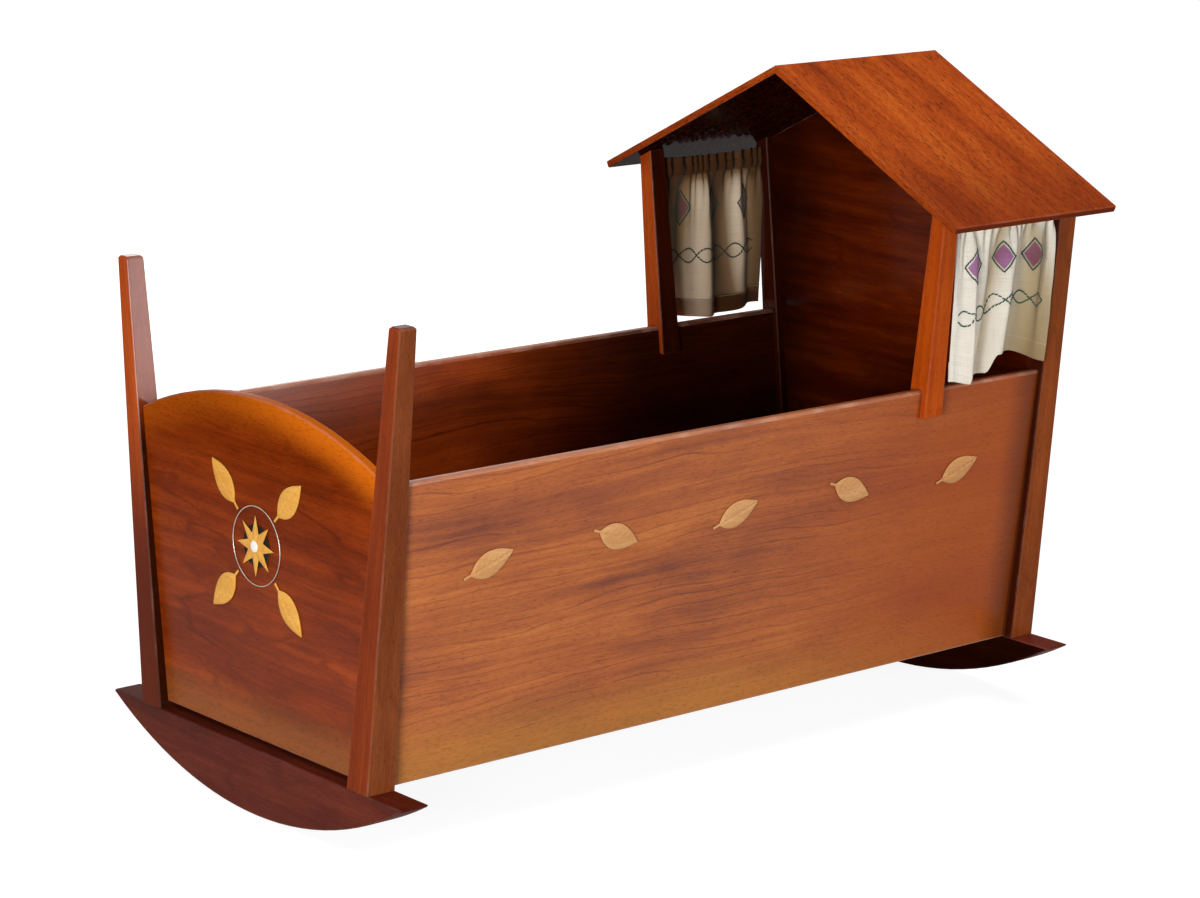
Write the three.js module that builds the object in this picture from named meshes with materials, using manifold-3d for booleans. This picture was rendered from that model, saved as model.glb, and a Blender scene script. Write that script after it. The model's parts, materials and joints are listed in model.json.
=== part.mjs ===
// Wooden rocking cradle with a gabled hood, splayed tapered posts and two curtains on wires.
// Millimetres, +Z up. In the cradle group x runs from the foot posts' outer face to the head,
// y is across with the near side at -y, and z = 0 is the top of the rockers.

import * as THREE from 'three';
import { mergeVertices } from 'three/addons/utils/BufferGeometryUtils.js';
import Module from 'manifold-3d';

const wasm = await Module();
wasm.setup();

// Plan of the base
const baseLength = 920;
const postLineHalfSpacing = 178;
const sideLeanShare = 0.11;

// Corner posts: depth is along x, width along y
const postFootDepth = 34;
const postFootWidth = 34;
const footPostHeight = 461;
const footPostTopDepth = 20.5;
const footPostTopWidth = 17.8;
const headPostTopDepth = 24.6;
const headPostTopWidth = 18.6;
const headPostInwardTravel = 7.3;
const postEdgeChamfer = 1.3;
const postTopChamfer = 2.2;
const tenonLength = 20;
const tenonDepth = 13;
const tenonWidth = 20;

// Rockers
const rockerHalfLength = 246;
const rockerDepth = 69;
const rockerTipHeight = 2.4;
const rockerTipRun = 2;
const rockerFacets = 27;
const rockerEdgeChamfer = 1.2;

// Panels
const panelThickness = 12;
const sidePanelHeight = 308;
const sidePanelHousing = 7;
const sidePanelTopRound = 3;
const sidePanelBottomRound = 1.2;
const footPanelThickness = 11;
const footPanelSetback = 11;
const footPanelRise = 6;
const footPanelCrown = 46;
const footPanelArchRadius = 488;
const footPanelTopRound = 2.4;
const headPanelSetback = 12.4;
const endPanelHousing = 5;

// Bottom board and the ledges that carry it
const ledgeHeight = 16;
const ledgeDepth = 14;
const ledgeRise = 6;
const bottomBoardThickness = 10;
const bottomBoardEndGap = 1.5;
const bottomBoardSideGap = 1;

// Roof
const ridgeHeight = 630;
const eaveHeight = 491;
const eaveHalfWidth = 278;
const roofThickness = 8;
const roofFrontOverhang = 19.5;
const roofBackOverhang = 13.6;
const roofEdgeRound = 1;

// Hood posts, which straddle the side panels with a bridle foot
const hoodDepth = 210.5;
const hoodPostFootDepth = 26.6;
const hoodPostTopDepth = 21;
const hoodPostOuterProud = 8.6;
const hoodPostInnerProud = 6.6;
const hoodPostTopWidth = 19;
const hoodPostReach = 31;
const hoodPostFootChamfer = 2;

// Curtains and their wires
const wireRadius = 1.1;
const wireDrop = 8;
const wireSeat = 6;
const casingRadius = 3.4;
const casingSides = 10;
const curtainThickness = 1.4;
const curtainHeading = 10;
const curtainHeadingSag = 5;
const curtainHemRise = 4.5;
const curtainHemWave = 2.6;
const curtainHemLift = 20;
const curtainPostGap = 1.6;
const curtainPleat = 28;
const curtainPleatTop = 1.5;
const curtainPleatHem = 6.5;
const curtainSwing = 2.4;
const curtainLiftPlaceShare = 0.62;
const curtainLiftSpreadShare = 0.16;
const curtainCalmPleatShare = 0.4;
const leadingHemWidth = 7;

// Applied leaves, and the star set in the foot panel
const leafLength = 54;
const leafWidth = 26;
const leafThickness = 2.4;
const leafBevel = 1;
const leafStalkLength = 9;
const leafStalkWidth = 2.6;
const leafVeinWidth = 1.4;
const leafVeinDepth = 0.7;
const sideLeafCount = 5;
const sideLeafMargin = 140;
const sideLeafDrop = 96;
const sideLeafTilt = Math.PI / 9;
const starRadius = 31;
const starWaistRadius = 13.5;
const starPoints = 8;
const starThickness = 1.6;
const starDrop = 103;
const roundelRadius = 22;
const roundelThickness = 1.2;
const starCentreRadius = 6;
const starCentreThickness = 1.2;
const ringRadius = 40;
const ringWireRadius = 0.7;
const footLeafDistance = 80;

// Clearances and cutting
const fitGap = 0.3;
const overrun = 4;
const mergeDistance = 0.0001;

// Places that follow from the sizes above
const hoodPostFace = baseLength - hoodDepth;
const footPanelApex = sidePanelHeight + footPanelCrown;
const wireHeight = eaveHeight - wireDrop;
const curtainTop = wireHeight + curtainHeading;
const curtainHem = sidePanelHeight + curtainHemRise;
const sideLeafHeight = sidePanelHeight - sideLeafDrop;
const sideLeafPitch = (baseLength - 2 * sideLeafMargin) / (sideLeafCount - 1);
const starHeight = sidePanelHeight - starDrop;

const millwood = new THREE.Color(0.43, 0.17, 0.06);
const rockerWood = new THREE.Color(0.2, 0.07, 0.05);
const roofWood = new THREE.Color(0.5, 0.19, 0.06);
const paleWood = new THREE.Color(0.82, 0.58, 0.3);
const darkWood = new THREE.Color(0.05, 0.03, 0.02);
const bone = new THREE.Color(0.9, 0.88, 0.82);
const linen = new THREE.Color(0.76, 0.73, 0.66);
const steel = new THREE.Color(0.55, 0.54, 0.5);

const cradle = new THREE.Group();
const boundsMiddle = (baseLength + roofBackOverhang) / 2;
cradle.position.set(-boundsMiddle, 0, rockerDepth);

function material(color, roughness, metalness = 0) {
  return new THREE.MeshStandardMaterial({ color, roughness, metalness });
}

const materials = {
  millwood: material(millwood, 0.35),
  rocker: material(rockerWood, 0.4),
  roof: material(roofWood, 0.35),
  pale: material(paleWood, 0.4),
  dark: material(darkWood, 0.5),
  bone: material(bone, 0.4),
  linen: material(linen, 0.95),
  steel: material(steel, 0.35, 1),
};

// Turns a closed geometry into a solid that can be cut and joined
function solidOf(geometry) {
  const bare = geometry.clone();
  bare.deleteAttribute('normal');
  bare.deleteAttribute('uv');
  const merged = mergeVertices(bare, mergeDistance);
  return new wasm.Manifold(new wasm.Mesh({
    numProp: 3,
    vertProperties: new Float32Array(merged.attributes.position.array),
    triVerts: new Uint32Array(merged.index.array),
  }));
}

function geometryOf(solid) {
  const mesh = solid.getMesh();
  const geometry = new THREE.BufferGeometry();
  geometry.setAttribute('position', new THREE.BufferAttribute(mesh.vertProperties, mesh.numProp));
  geometry.setIndex(new THREE.BufferAttribute(mesh.triVerts, 1));
  return geometry;
}

function addPiece(name, geometry, look, parent = cradle) {
  const mesh = new THREE.Mesh(geometry, look);
  mesh.name = name;
  parent.add(mesh);
  return mesh;
}

// The same shape on the other side of the middle, with its faces turned out again
function mirrored(geometry) {
  const copy = geometry.clone();
  copy.scale(1, -1, 1);
  const index = copy.index ?? new THREE.BufferAttribute(
    Uint32Array.from({ length: copy.attributes.position.count }, (_, i) => i), 1);
  const turned = new Uint32Array(index.array);
  for (let i = 0; i < turned.length; i += 3) {
    [turned[i + 1], turned[i + 2]] = [turned[i + 2], turned[i + 1]];
  }
  copy.setIndex(new THREE.BufferAttribute(turned, 1));
  return copy;
}

// Skins a stack of rings, each an equal list of points seen anticlockwise from the stack's top
function loft(rings) {
  const around = rings[0].length;
  const points = rings.flat();
  const index = [];
  for (let level = 0; level + 1 < rings.length; level++) {
    for (let i = 0; i < around; i++) {
      const next = (i + 1) % around;
      const low = level * around;
      const high = low + around;
      index.push(low + i, low + next, high + next);
      index.push(low + i, high + next, high + i);
    }
  }
  const last = (rings.length - 1) * around;
  for (let i = 1; i + 1 < around; i++) {
    index.push(0, i + 1, i);
    index.push(last, last + i, last + i + 1);
  }
  const geometry = new THREE.BufferGeometry().setFromPoints(points);
  geometry.setIndex(index);
  return geometry;
}

// An oblong ring at height z with its corners cut by the chamfer
function oblongRing({ x0, x1, y0, y1 }, z, chamfer, inset = 0) {
  const left = x0 + inset;
  const right = x1 - inset;
  const front = y0 + inset;
  const back = y1 - inset;
  const corner = [
    [left + chamfer, front], [right - chamfer, front], [right, front + chamfer], [right, back - chamfer],
    [right - chamfer, back], [left + chamfer, back], [left, back - chamfer], [left, front + chamfer],
  ];
  return corner.map(([x, y]) => new THREE.Vector3(x, y, z));
}

// A square-edged block between two corners
function block(x0, x1, y0, y1, z0, z1) {
  const geometry = new THREE.BoxGeometry(x1 - x0, y1 - y0, z1 - z0);
  geometry.translate((x0 + x1) / 2, (y0 + y1) / 2, (z0 + z1) / 2);
  return geometry;
}

// Extrudes an outline drawn in y and z along x, from x0 to x1
function extrudeAlongX(points, x0, x1, bevel = 0) {
  const shape = new THREE.Shape(points.map(([y, z]) => new THREE.Vector2(y, z)));
  const geometry = new THREE.ExtrudeGeometry(shape, {
    depth: x1 - x0 - 2 * bevel,
    bevelEnabled: bevel > 0,
    bevelThickness: bevel,
    bevelSize: bevel,
    bevelOffset: -bevel,
    bevelSegments: 1,
    curveSegments: 1,
  });
  const axes = new THREE.Matrix4().makeBasis(
    new THREE.Vector3(0, 1, 0), new THREE.Vector3(0, 0, 1), new THREE.Vector3(1, 0, 0));
  geometry.applyMatrix4(axes);
  geometry.translate(x0 + bevel, 0, 0);
  return geometry;
}

function postLine(z) {
  return postLineHalfSpacing + sideLeanShare * z;
}

function between(low, high, share) {
  return low + (high - low) * share;
}

const sides = [
  { name: 'near', turn: (geometry) => mirrored(geometry) },
  { name: 'far', turn: (geometry) => geometry },
];

// Roof planes: z of the boards' upper and under faces at a distance y from the middle
const roofSlope = (ridgeHeight - eaveHeight) / eaveHalfWidth;
const roofAngle = Math.atan(roofSlope);
const roofDrop = roofThickness / Math.cos(roofAngle);
const roofFront = hoodPostFace - roofFrontOverhang;
const roofBack = baseLength + roofBackOverhang;

function roofUnder(y) {
  return ridgeHeight - roofDrop - roofSlope * y;
}

// Everything above the roof's underside, less the fitting gap, to cut the posts and the gable
function roofCutter() {
  const gap = fitGap / Math.cos(roofAngle);
  const reach = eaveHalfWidth + overrun;
  const top = ridgeHeight + overrun;
  const outline = [
    [-reach, roofUnder(reach) - gap], [0, roofUnder(0) - gap], [reach, roofUnder(reach) - gap],
    [reach, top], [-reach, top],
  ];
  return solidOf(extrudeAlongX(outline, roofFront - overrun, roofBack + overrun));
}

function cornerPost(footX, topX, topDepth, topWidth, height, softTop) {
  const topY = postLine(height);
  const foot = {
    x0: footX, x1: footX + postFootDepth,
    y0: postLine(0) - postFootWidth / 2, y1: postLine(0) + postFootWidth / 2,
  };
  const top = { x0: topX, x1: topX + topDepth, y0: topY - topWidth / 2, y1: topY + topWidth / 2 };
  const rings = [oblongRing(foot, 0, postEdgeChamfer)];
  if (softTop) {
    const share = 1 - postTopChamfer / height;
    const shoulder = {
      x0: between(foot.x0, top.x0, share), x1: between(foot.x1, top.x1, share),
      y0: between(foot.y0, top.y0, share), y1: between(foot.y1, top.y1, share),
    };
    rings.push(oblongRing(shoulder, height - postTopChamfer, postEdgeChamfer));
    rings.push(oblongRing(top, height, postEdgeChamfer, postTopChamfer));
  } else {
    rings.push(oblongRing(top, height, postEdgeChamfer));
  }
  const body = solidOf(loft(rings));
  return body.add(postTenon(footX + postFootDepth / 2, 0));
}

// The tenon under a corner post; with a gap it is the mortise that takes it
function postTenon(middleX, gap) {
  return solidOf(block(
    middleX - tenonDepth / 2 - gap, middleX + tenonDepth / 2 + gap,
    postLine(0) - tenonWidth / 2 - gap, postLine(0) + tenonWidth / 2 + gap,
    -tenonLength - gap, gap > 0 ? overrun : postEdgeChamfer));
}

// Inner and outer faces of the corner posts across y, and the head posts' face towards the foot
function postInnerFace(z) {
  return postLine(z) - postFootWidth / 2 + (postFootWidth - footPostTopWidth) / 2 * z / footPostHeight;
}

const headPostFace = baseLength - postFootDepth;
const headPostTop = roofUnder(postLine(eaveHeight) - headPostTopWidth / 2) + overrun;
const headPostTopX = baseLength - headPostInwardTravel - headPostTopDepth;

function headPostFaceAt(z) {
  return between(headPostFace, headPostTopX, z / headPostTop);
}

// Side panel: a leaning slab with a rounded top edge, housed in the posts
const sidePanelStart = postFootDepth - sidePanelHousing;
const sidePanelEnd = headPostFace + sidePanelHousing;

function roundedSlab(lowZ, highZ, half, lowRound, highRound, grow) {
  const centre = (z) => postLine(z);
  const outer = (z, inset) => centre(z) + half + grow - inset;
  const inner = (z, inset) => centre(z) - half - grow + inset;
  const low = lowZ - grow;
  const high = highZ + grow;
  const soft = 1 - Math.SQRT1_2;
  return [
    [inner(low, lowRound), low],
    [outer(low, lowRound), low],
    [outer(low + lowRound, 0), low + lowRound],
    [outer(high - highRound, 0), high - highRound],
    [outer(high - highRound * soft, highRound * soft), high - highRound * soft],
    [outer(high, highRound), high],
    [inner(high, highRound), high],
    [inner(high - highRound * soft, highRound * soft), high - highRound * soft],
    [inner(high - highRound, 0), high - highRound],
    [inner(low + lowRound, 0), low + lowRound],
  ];
}

function sidePanel(grow = 0) {
  const outline = roundedSlab(
    0, sidePanelHeight, panelThickness / 2, sidePanelBottomRound, sidePanelTopRound, grow);
  return solidOf(extrudeAlongX(outline, sidePanelStart - grow, sidePanelEnd + grow));
}

// Foot panel: its top is an arch, its ends follow the posts' inner faces
function footPanelOutline(grow) {
  const archCentre = footPanelApex - footPanelArchRadius;
  const radius = footPanelArchRadius + grow;
  const end = (z) => postInnerFace(z) + endPanelHousing + grow;
  const archHeight = (y) => archCentre + Math.sqrt(radius * radius - y * y);
  let corner = end(footPanelApex);
  for (let pass = 0; pass < 6; pass++) {
    corner = end(archHeight(corner));
  }
  const low = footPanelRise - grow;
  const outline = [[-end(low), low], [end(low), low]];
  const archSteps = 22;
  for (let i = 0; i <= archSteps; i++) {
    const y = corner * Math.cos(Math.PI * i / archSteps);
    outline.push([y, archHeight(y)]);
  }
  return outline;
}

function footPanel(grow = 0) {
  const bevel = grow > 0 ? 0 : footPanelTopRound / 2;
  return solidOf(extrudeAlongX(
    footPanelOutline(grow), footPanelSetback - grow,
    footPanelSetback + footPanelThickness + grow, bevel));
}

// Head panel: one wide board from the rocker to the roof, its top cut to the gable
function headPanel(grow = 0) {
  const end = (z) => postInnerFace(z) + endPanelHousing + grow;
  const gap = fitGap / Math.cos(roofAngle);
  let eave = end(eaveHeight);
  for (let pass = 0; pass < 6; pass++) {
    eave = end(roofUnder(eave) - gap + grow);
  }
  const low = fitGap - grow;
  const outline = [
    [-end(low), low], [end(low), low],
    [eave, roofUnder(eave) - gap + grow],
    [0, roofUnder(0) - gap + grow],
    [-eave, roofUnder(eave) - gap + grow],
  ];
  const back = baseLength - headPanelSetback + grow;
  return solidOf(extrudeAlongX(outline, back - footPanelThickness - 2 * grow, back));
}

// Hood post, with its foot slotted over the side panel and its head cut to the roof
const hoodPostFoot = sidePanelHeight - hoodPostReach;

const hoodPostTop = roofUnder(postLine(eaveHeight) - hoodPostTopWidth) + overrun;

function hoodPostBlank() {
  const half = panelThickness / 2;
  const foot = {
    x0: hoodPostFace, x1: hoodPostFace + hoodPostFootDepth,
    y0: postLine(hoodPostFoot) - half - hoodPostInnerProud,
    y1: postLine(hoodPostFoot) + half + hoodPostOuterProud,
  };
  const top = {
    x0: hoodPostFace, x1: hoodPostFace + hoodPostTopDepth,
    y0: postLine(hoodPostTop) - hoodPostTopWidth / 2, y1: postLine(hoodPostTop) + hoodPostTopWidth / 2,
  };
  return solidOf(loft([
    oblongRing(foot, hoodPostFoot, postEdgeChamfer, hoodPostFootChamfer / 2),
    oblongRing(foot, hoodPostFoot + hoodPostFootChamfer, postEdgeChamfer),
    oblongRing(top, hoodPostTop, postEdgeChamfer),
  ]));
}

const wireLine = postLine(wireHeight);

function wireBore(x0, x1) {
  const bore = new THREE.CylinderGeometry(
    wireRadius + fitGap, wireRadius + fitGap, x1 - x0, casingSides);
  bore.rotateZ(Math.PI / 2);
  bore.translate((x0 + x1) / 2, wireLine, wireHeight);
  return solidOf(bore);
}

function hoodPostBack(z) {
  const share = (z - hoodPostFoot) / (hoodPostTop - hoodPostFoot);
  return hoodPostFace + between(hoodPostFootDepth, hoodPostTopDepth, share);
}

const wireStart = hoodPostBack(wireHeight) - wireSeat;
const wireEnd = headPostFaceAt(wireHeight) + wireSeat;

function addPosts() {
  const footPosts = cornerPost(
    0, (postFootDepth - footPostTopDepth) / 2, footPostTopDepth, footPostTopWidth, footPostHeight, true)
    .subtract(sidePanel(fitGap)).subtract(footPanel(fitGap));
  const headPosts = cornerPost(
    headPostFace, headPostTopX, headPostTopDepth, headPostTopWidth, headPostTop, false)
    .subtract(roofCutter()).subtract(sidePanel(fitGap)).subtract(headPanel(fitGap))
    .subtract(wireBore(wireEnd - wireSeat - overrun, wireEnd + fitGap));
  const hoodPosts = hoodPostBlank().subtract(roofCutter()).subtract(sidePanel(fitGap))
    .subtract(wireBore(wireStart - fitGap, wireStart + wireSeat + overrun));
  for (const { name, turn } of sides) {
    addPiece(`${name}_foot_post`, turn(geometryOf(footPosts)), materials.millwood);
    addPiece(`${name}_head_post`, turn(geometryOf(headPosts)), materials.millwood);
    addPiece(`${name}_hood_post`, turn(geometryOf(hoodPosts)), materials.millwood);
  }
}

function addPanels() {
  for (const { name, turn } of sides) {
    addPiece(`${name}_side_panel`, turn(geometryOf(sidePanel())), materials.millwood);
  }
  addPiece('foot_panel', geometryOf(footPanel()), materials.millwood);
  addPiece('head_panel', geometryOf(headPanel()), materials.millwood);
}

// Rocker outline: a flat top and one faceted arc whose middle facet lies level on the floor
function rockerOutline() {
  const sagitta = rockerDepth - rockerTipHeight;
  const radius = (rockerHalfLength ** 2 + sagitta ** 2) / (2 * sagitta);
  const halfAngle = Math.asin(rockerHalfLength / radius);
  const facetAngle = 2 * halfAngle / rockerFacets;
  const middleDrop = radius * Math.cos(facetAngle / 2);
  const centreZ = middleDrop - rockerDepth;
  const outline = [[rockerHalfLength + rockerTipRun, 0], [-rockerHalfLength - rockerTipRun, 0]];
  for (let i = 0; i <= rockerFacets; i++) {
    const angle = -halfAngle + i * facetAngle;
    outline.push([radius * Math.sin(angle), centreZ - radius * Math.cos(angle)]);
  }
  return outline;
}

function addRockers() {
  const starts = { foot_rocker: 0, head_rocker: headPostFace };
  for (const [name, x] of Object.entries(starts)) {
    const blank = solidOf(extrudeAlongX(rockerOutline(), x, x + postFootDepth, rockerEdgeChamfer));
    const mortise = postTenon(x + postFootDepth / 2, fitGap);
    const farMortise = solidOf(mirrored(geometryOf(mortise)));
    addPiece(name, geometryOf(blank.subtract(mortise).subtract(farMortise)), materials.rocker);
  }
}

// Side ledges follow the panels' slope; end ledges sit between them on the end panels
const bottomBoardRise = ledgeRise + ledgeHeight;
const innerFootFace = footPanelSetback + footPanelThickness;
const innerHeadFace = baseLength - headPanelSetback - footPanelThickness;

function panelInnerFace(z) {
  return postLine(z) - panelThickness / 2;
}

function addBottom() {
  const start = postFootDepth + fitGap;
  const end = headPostFace - fitGap;
  const low = ledgeRise;
  const high = bottomBoardRise;
  const outline = [
    [panelInnerFace(low) - ledgeDepth, low], [panelInnerFace(low) - fitGap, low],
    [panelInnerFace(high) - fitGap, high], [panelInnerFace(low) - ledgeDepth, high],
  ];
  const sideLedge = extrudeAlongX(outline, start, end);
  for (const { name, turn } of sides) {
    addPiece(`${name}_side_ledge`, turn(sideLedge), materials.millwood);
  }
  const reach = panelInnerFace(low) - ledgeDepth - fitGap;
  const endLedge = block(0, ledgeDepth, -reach, reach, low, high);
  const footLedge = addPiece('foot_end_ledge', endLedge, materials.millwood);
  footLedge.position.x = innerFootFace + fitGap;
  const headLedge = addPiece('head_end_ledge', endLedge.clone(), materials.millwood);
  headLedge.position.x = innerHeadFace - fitGap - ledgeDepth;
  addBottomBoard();
}

// The bottom board lies on the ledges, its sides sloped with the panels and its corners notched for the posts
function addBottomBoard() {
  const low = bottomBoardRise + fitGap;
  const high = low + bottomBoardThickness;
  const half = (z) => panelInnerFace(z) - bottomBoardSideGap;
  const outline = [[-half(low), low], [half(low), low], [half(high), high], [-half(high), high]];
  let board = solidOf(extrudeAlongX(
    outline, innerFootFace + bottomBoardEndGap, innerHeadFace - bottomBoardEndGap));
  const notchIn = postLine(low) - postFootWidth / 2 - bottomBoardSideGap;
  const notchOut = half(high) + overrun;
  const notches = [
    [innerFootFace, postFootDepth + bottomBoardEndGap],
    [headPostFace - bottomBoardEndGap, innerHeadFace],
  ];
  for (const [x0, x1] of notches) {
    for (const side of [-1, 1]) {
      const y = [side * notchIn, side * notchOut].sort((a, b) => a - b);
      board = board.subtract(solidOf(block(x0, x1, y[0], y[1], low - overrun, high + overrun)));
    }
  }
  addPiece('bottom_board', geometryOf(board), materials.millwood);
}

// Each roof board is drawn flat with its upper face at z = 0 and turned down to the slope at the ridge
function addRoof() {
  const slopeLength = Math.hypot(eaveHalfWidth, ridgeHeight - eaveHeight);
  const ridgeGap = fitGap / 2;
  const mitre = roofThickness * Math.tan(roofAngle);
  const outline = [
    [ridgeGap, 0], [ridgeGap + mitre, -roofThickness],
    [slopeLength - roofEdgeRound, -roofThickness], [slopeLength, -roofThickness + roofEdgeRound],
    [slopeLength, -roofEdgeRound], [slopeLength - roofEdgeRound, 0],
  ];
  const board = extrudeAlongX(outline, 0, roofBack - roofFront);
  for (const { name, turn } of sides) {
    const lean = name === 'far' ? -roofAngle : roofAngle;
    const mesh = addPiece(`${name}_roof_board`, turn(board), materials.roof);
    mesh.rotation.x = lean;
    mesh.position.set(roofFront, 0, ridgeHeight);
  }
}

// Curtain cloth, which hangs plumb from its wire: how far its middle surface stands out of the wire's plane
const curtainStart = hoodPostBack(curtainHem) + curtainPostGap;
const curtainEnd = headPostFace - curtainPostGap;

function curtainFold(x, z) {
  const fall = THREE.MathUtils.clamp((wireHeight - z) / (wireHeight - curtainHem), 0, 1);
  const depth = between(curtainPleatTop, curtainPleatHem, Math.sqrt(fall));
  const turn = 2 * Math.PI * (x - curtainStart) / curtainPleat;
  const drift = Math.sin(turn / Math.PI) * fall;
  const calm = between(1, 1 - curtainCalmPleatShare * (1 + Math.sin(turn / 2)) / 2, fall);
  return depth * calm * Math.cos(turn + drift) + curtainSwing * fall * Math.sin(turn / 4);
}

function curtainLowEdge(x) {
  const share = (x - curtainStart) / (curtainEnd - curtainStart);
  const arch = Math.exp(-(((share - curtainLiftPlaceShare) / curtainLiftSpreadShare) ** 2));
  return curtainHem + curtainHemWave * (1 + Math.cos(4 * Math.PI * share)) + curtainHemLift * arch;
}

function curtainHighEdge(x) {
  const share = (x - curtainStart) / (curtainEnd - curtainStart);
  return curtainTop - curtainHeadingSag * Math.sin(Math.PI * share);
}

// A thin closed cloth between two x positions, offset to both sides of its middle surface
function clothSheet(x0, x1, columns, rows) {
  const place = (x, z) => new THREE.Vector3(x, wireLine + curtainFold(x, z), z);
  const rings = [];
  const step = curtainThickness / 4;
  for (let j = 0; j <= rows; j++) {
    const front = [];
    const back = [];
    for (let i = 0; i <= columns; i++) {
      const x = between(x0, x1, i / columns);
      const z = between(curtainLowEdge(x), curtainHighEdge(x), j / rows);
      const here = place(x, z);
      const alongX = place(x + step, z).sub(here);
      const alongZ = place(x, z + step).sub(here);
      const out = alongZ.cross(alongX).normalize().multiplyScalar(curtainThickness / 2);
      back.push(here.clone().add(out));
      front.push(here.clone().sub(out));
    }
    rings.push([...front, ...back.reverse()]);
  }
  return stripLoft(rings, columns);
}

// Skins flat, oblong rings whose long sides have the given number of steps, closing both ends with quads
function stripLoft(rings, columns) {
  const around = rings[0].length;
  const geometry = loft(rings);
  const index = Array.from(geometry.index.array).slice(0, (rings.length - 1) * around * 6);
  const last = (rings.length - 1) * around;
  for (let i = 0; i < columns; i++) {
    const mate = around - 1 - i;
    index.push(i, mate, mate - 1, i, mate - 1, i + 1);
    index.push(last + i, last + mate - 1, last + mate, last + i, last + i + 1, last + mate - 1);
  }
  geometry.setIndex(index);
  return geometry;
}

function casing(x0, x1) {
  const tube = new THREE.CylinderGeometry(casingRadius, casingRadius, x1 - x0, casingSides);
  tube.rotateZ(Math.PI / 2);
  tube.translate((x0 + x1) / 2, wireLine, wireHeight);
  return solidOf(tube);
}

function addCurtains() {
  const leadEnd = curtainStart + leadingHemWidth;
  const clothStart = leadEnd + fitGap;
  const cloth = solidOf(clothSheet(clothStart, curtainEnd, 34, 9))
    .add(casing(clothStart, curtainEnd))
    .subtract(wireBore(clothStart - overrun, curtainEnd + overrun));
  const hem = solidOf(clothSheet(curtainStart, leadEnd, 2, 9))
    .add(casing(curtainStart, leadEnd))
    .subtract(wireBore(curtainStart - overrun, leadEnd + overrun));
  const wire = new THREE.CylinderGeometry(wireRadius, wireRadius, wireEnd - wireStart, casingSides);
  wire.rotateZ(Math.PI / 2);
  wire.translate((wireStart + wireEnd) / 2, wireLine, wireHeight);
  for (const { name, turn } of sides) {
    addPiece(`${name}_curtain`, turn(geometryOf(cloth)), materials.linen);
    addPiece(`${name}_curtain_leading_hem`, turn(geometryOf(hem)), materials.linen);
    addPiece(`${name}_curtain_wire`, turn(wire), materials.steel);
  }
}

// A leaf with its tip along +y of its own plane, cut with a middle vein, face up along +z
function leafGeometry() {
  const half = leafLength / 2;
  const outline = new THREE.Shape();
  outline.moveTo(leafStalkWidth / 2, -half - leafStalkLength);
  outline.lineTo(leafStalkWidth / 2, -half);
  outline.quadraticCurveTo(leafWidth, -half / 4, 0, half);
  outline.quadraticCurveTo(-leafWidth, -half / 4, -leafStalkWidth / 2, -half);
  outline.lineTo(-leafStalkWidth / 2, -half - leafStalkLength);
  const body = new THREE.ExtrudeGeometry(outline, {
    depth: leafThickness - leafBevel,
    bevelEnabled: true,
    bevelThickness: leafBevel,
    bevelSize: leafBevel,
    bevelOffset: -leafBevel,
    bevelSegments: 1,
    curveSegments: 9,
  });
  const base = solidOf(block(-leafWidth, leafWidth, -leafLength, leafLength, -leafLength, 0));
  const vein = new THREE.CylinderGeometry(leafVeinWidth, leafVeinWidth, leafLength, 4);
  vein.scale(1, 1, leafVeinDepth / leafVeinWidth);
  vein.translate(0, -leafStalkLength, leafThickness);
  return geometryOf(solidOf(body).subtract(base).subtract(solidOf(vein)));
}

// Leaves lie on the leaning panel faces in an even row, tips to the head, tilted up and down by turns
function addSideLeaves() {
  const leaf = leafGeometry();
  const lean = Math.atan(sideLeanShare);
  for (const { name } of sides) {
    const face = name === 'far' ? 1 : -1;
    const row = new THREE.Group();
    row.position.set(0, face * (postLine(sideLeafHeight) + panelThickness / 2), sideLeafHeight);
    row.rotation.x = face > 0 ? -Math.PI / 2 - lean : Math.PI / 2 + lean;
    cradle.add(row);
    for (let i = 0; i < sideLeafCount; i++) {
      const mesh = addPiece(`${name}_side_leaf_${i + 1}`, leaf.clone(), materials.pale, row);
      mesh.position.set(sideLeafMargin + i * sideLeafPitch, 0, fitGap);
      mesh.rotation.z = (i % 2 ? 1 : -1) * face * sideLeafTilt - Math.PI / 2;
    }
  }
}

function starGeometry() {
  const outline = new THREE.Shape();
  for (let i = 0; i < 2 * starPoints; i++) {
    const radius = i % 2 ? starWaistRadius : starRadius;
    const angle = Math.PI * i / starPoints;
    const move = i ? 'lineTo' : 'moveTo';
    outline[move](radius * Math.sin(angle), radius * Math.cos(angle));
  }
  return new THREE.ExtrudeGeometry(outline, { depth: starThickness, bevelEnabled: false });
}

function disc(radius, thickness, sidesAround) {
  const geometry = new THREE.CylinderGeometry(radius, radius, thickness, sidesAround);
  geometry.rotateX(Math.PI / 2);
  geometry.translate(0, 0, thickness / 2);
  return geometry;
}

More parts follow.
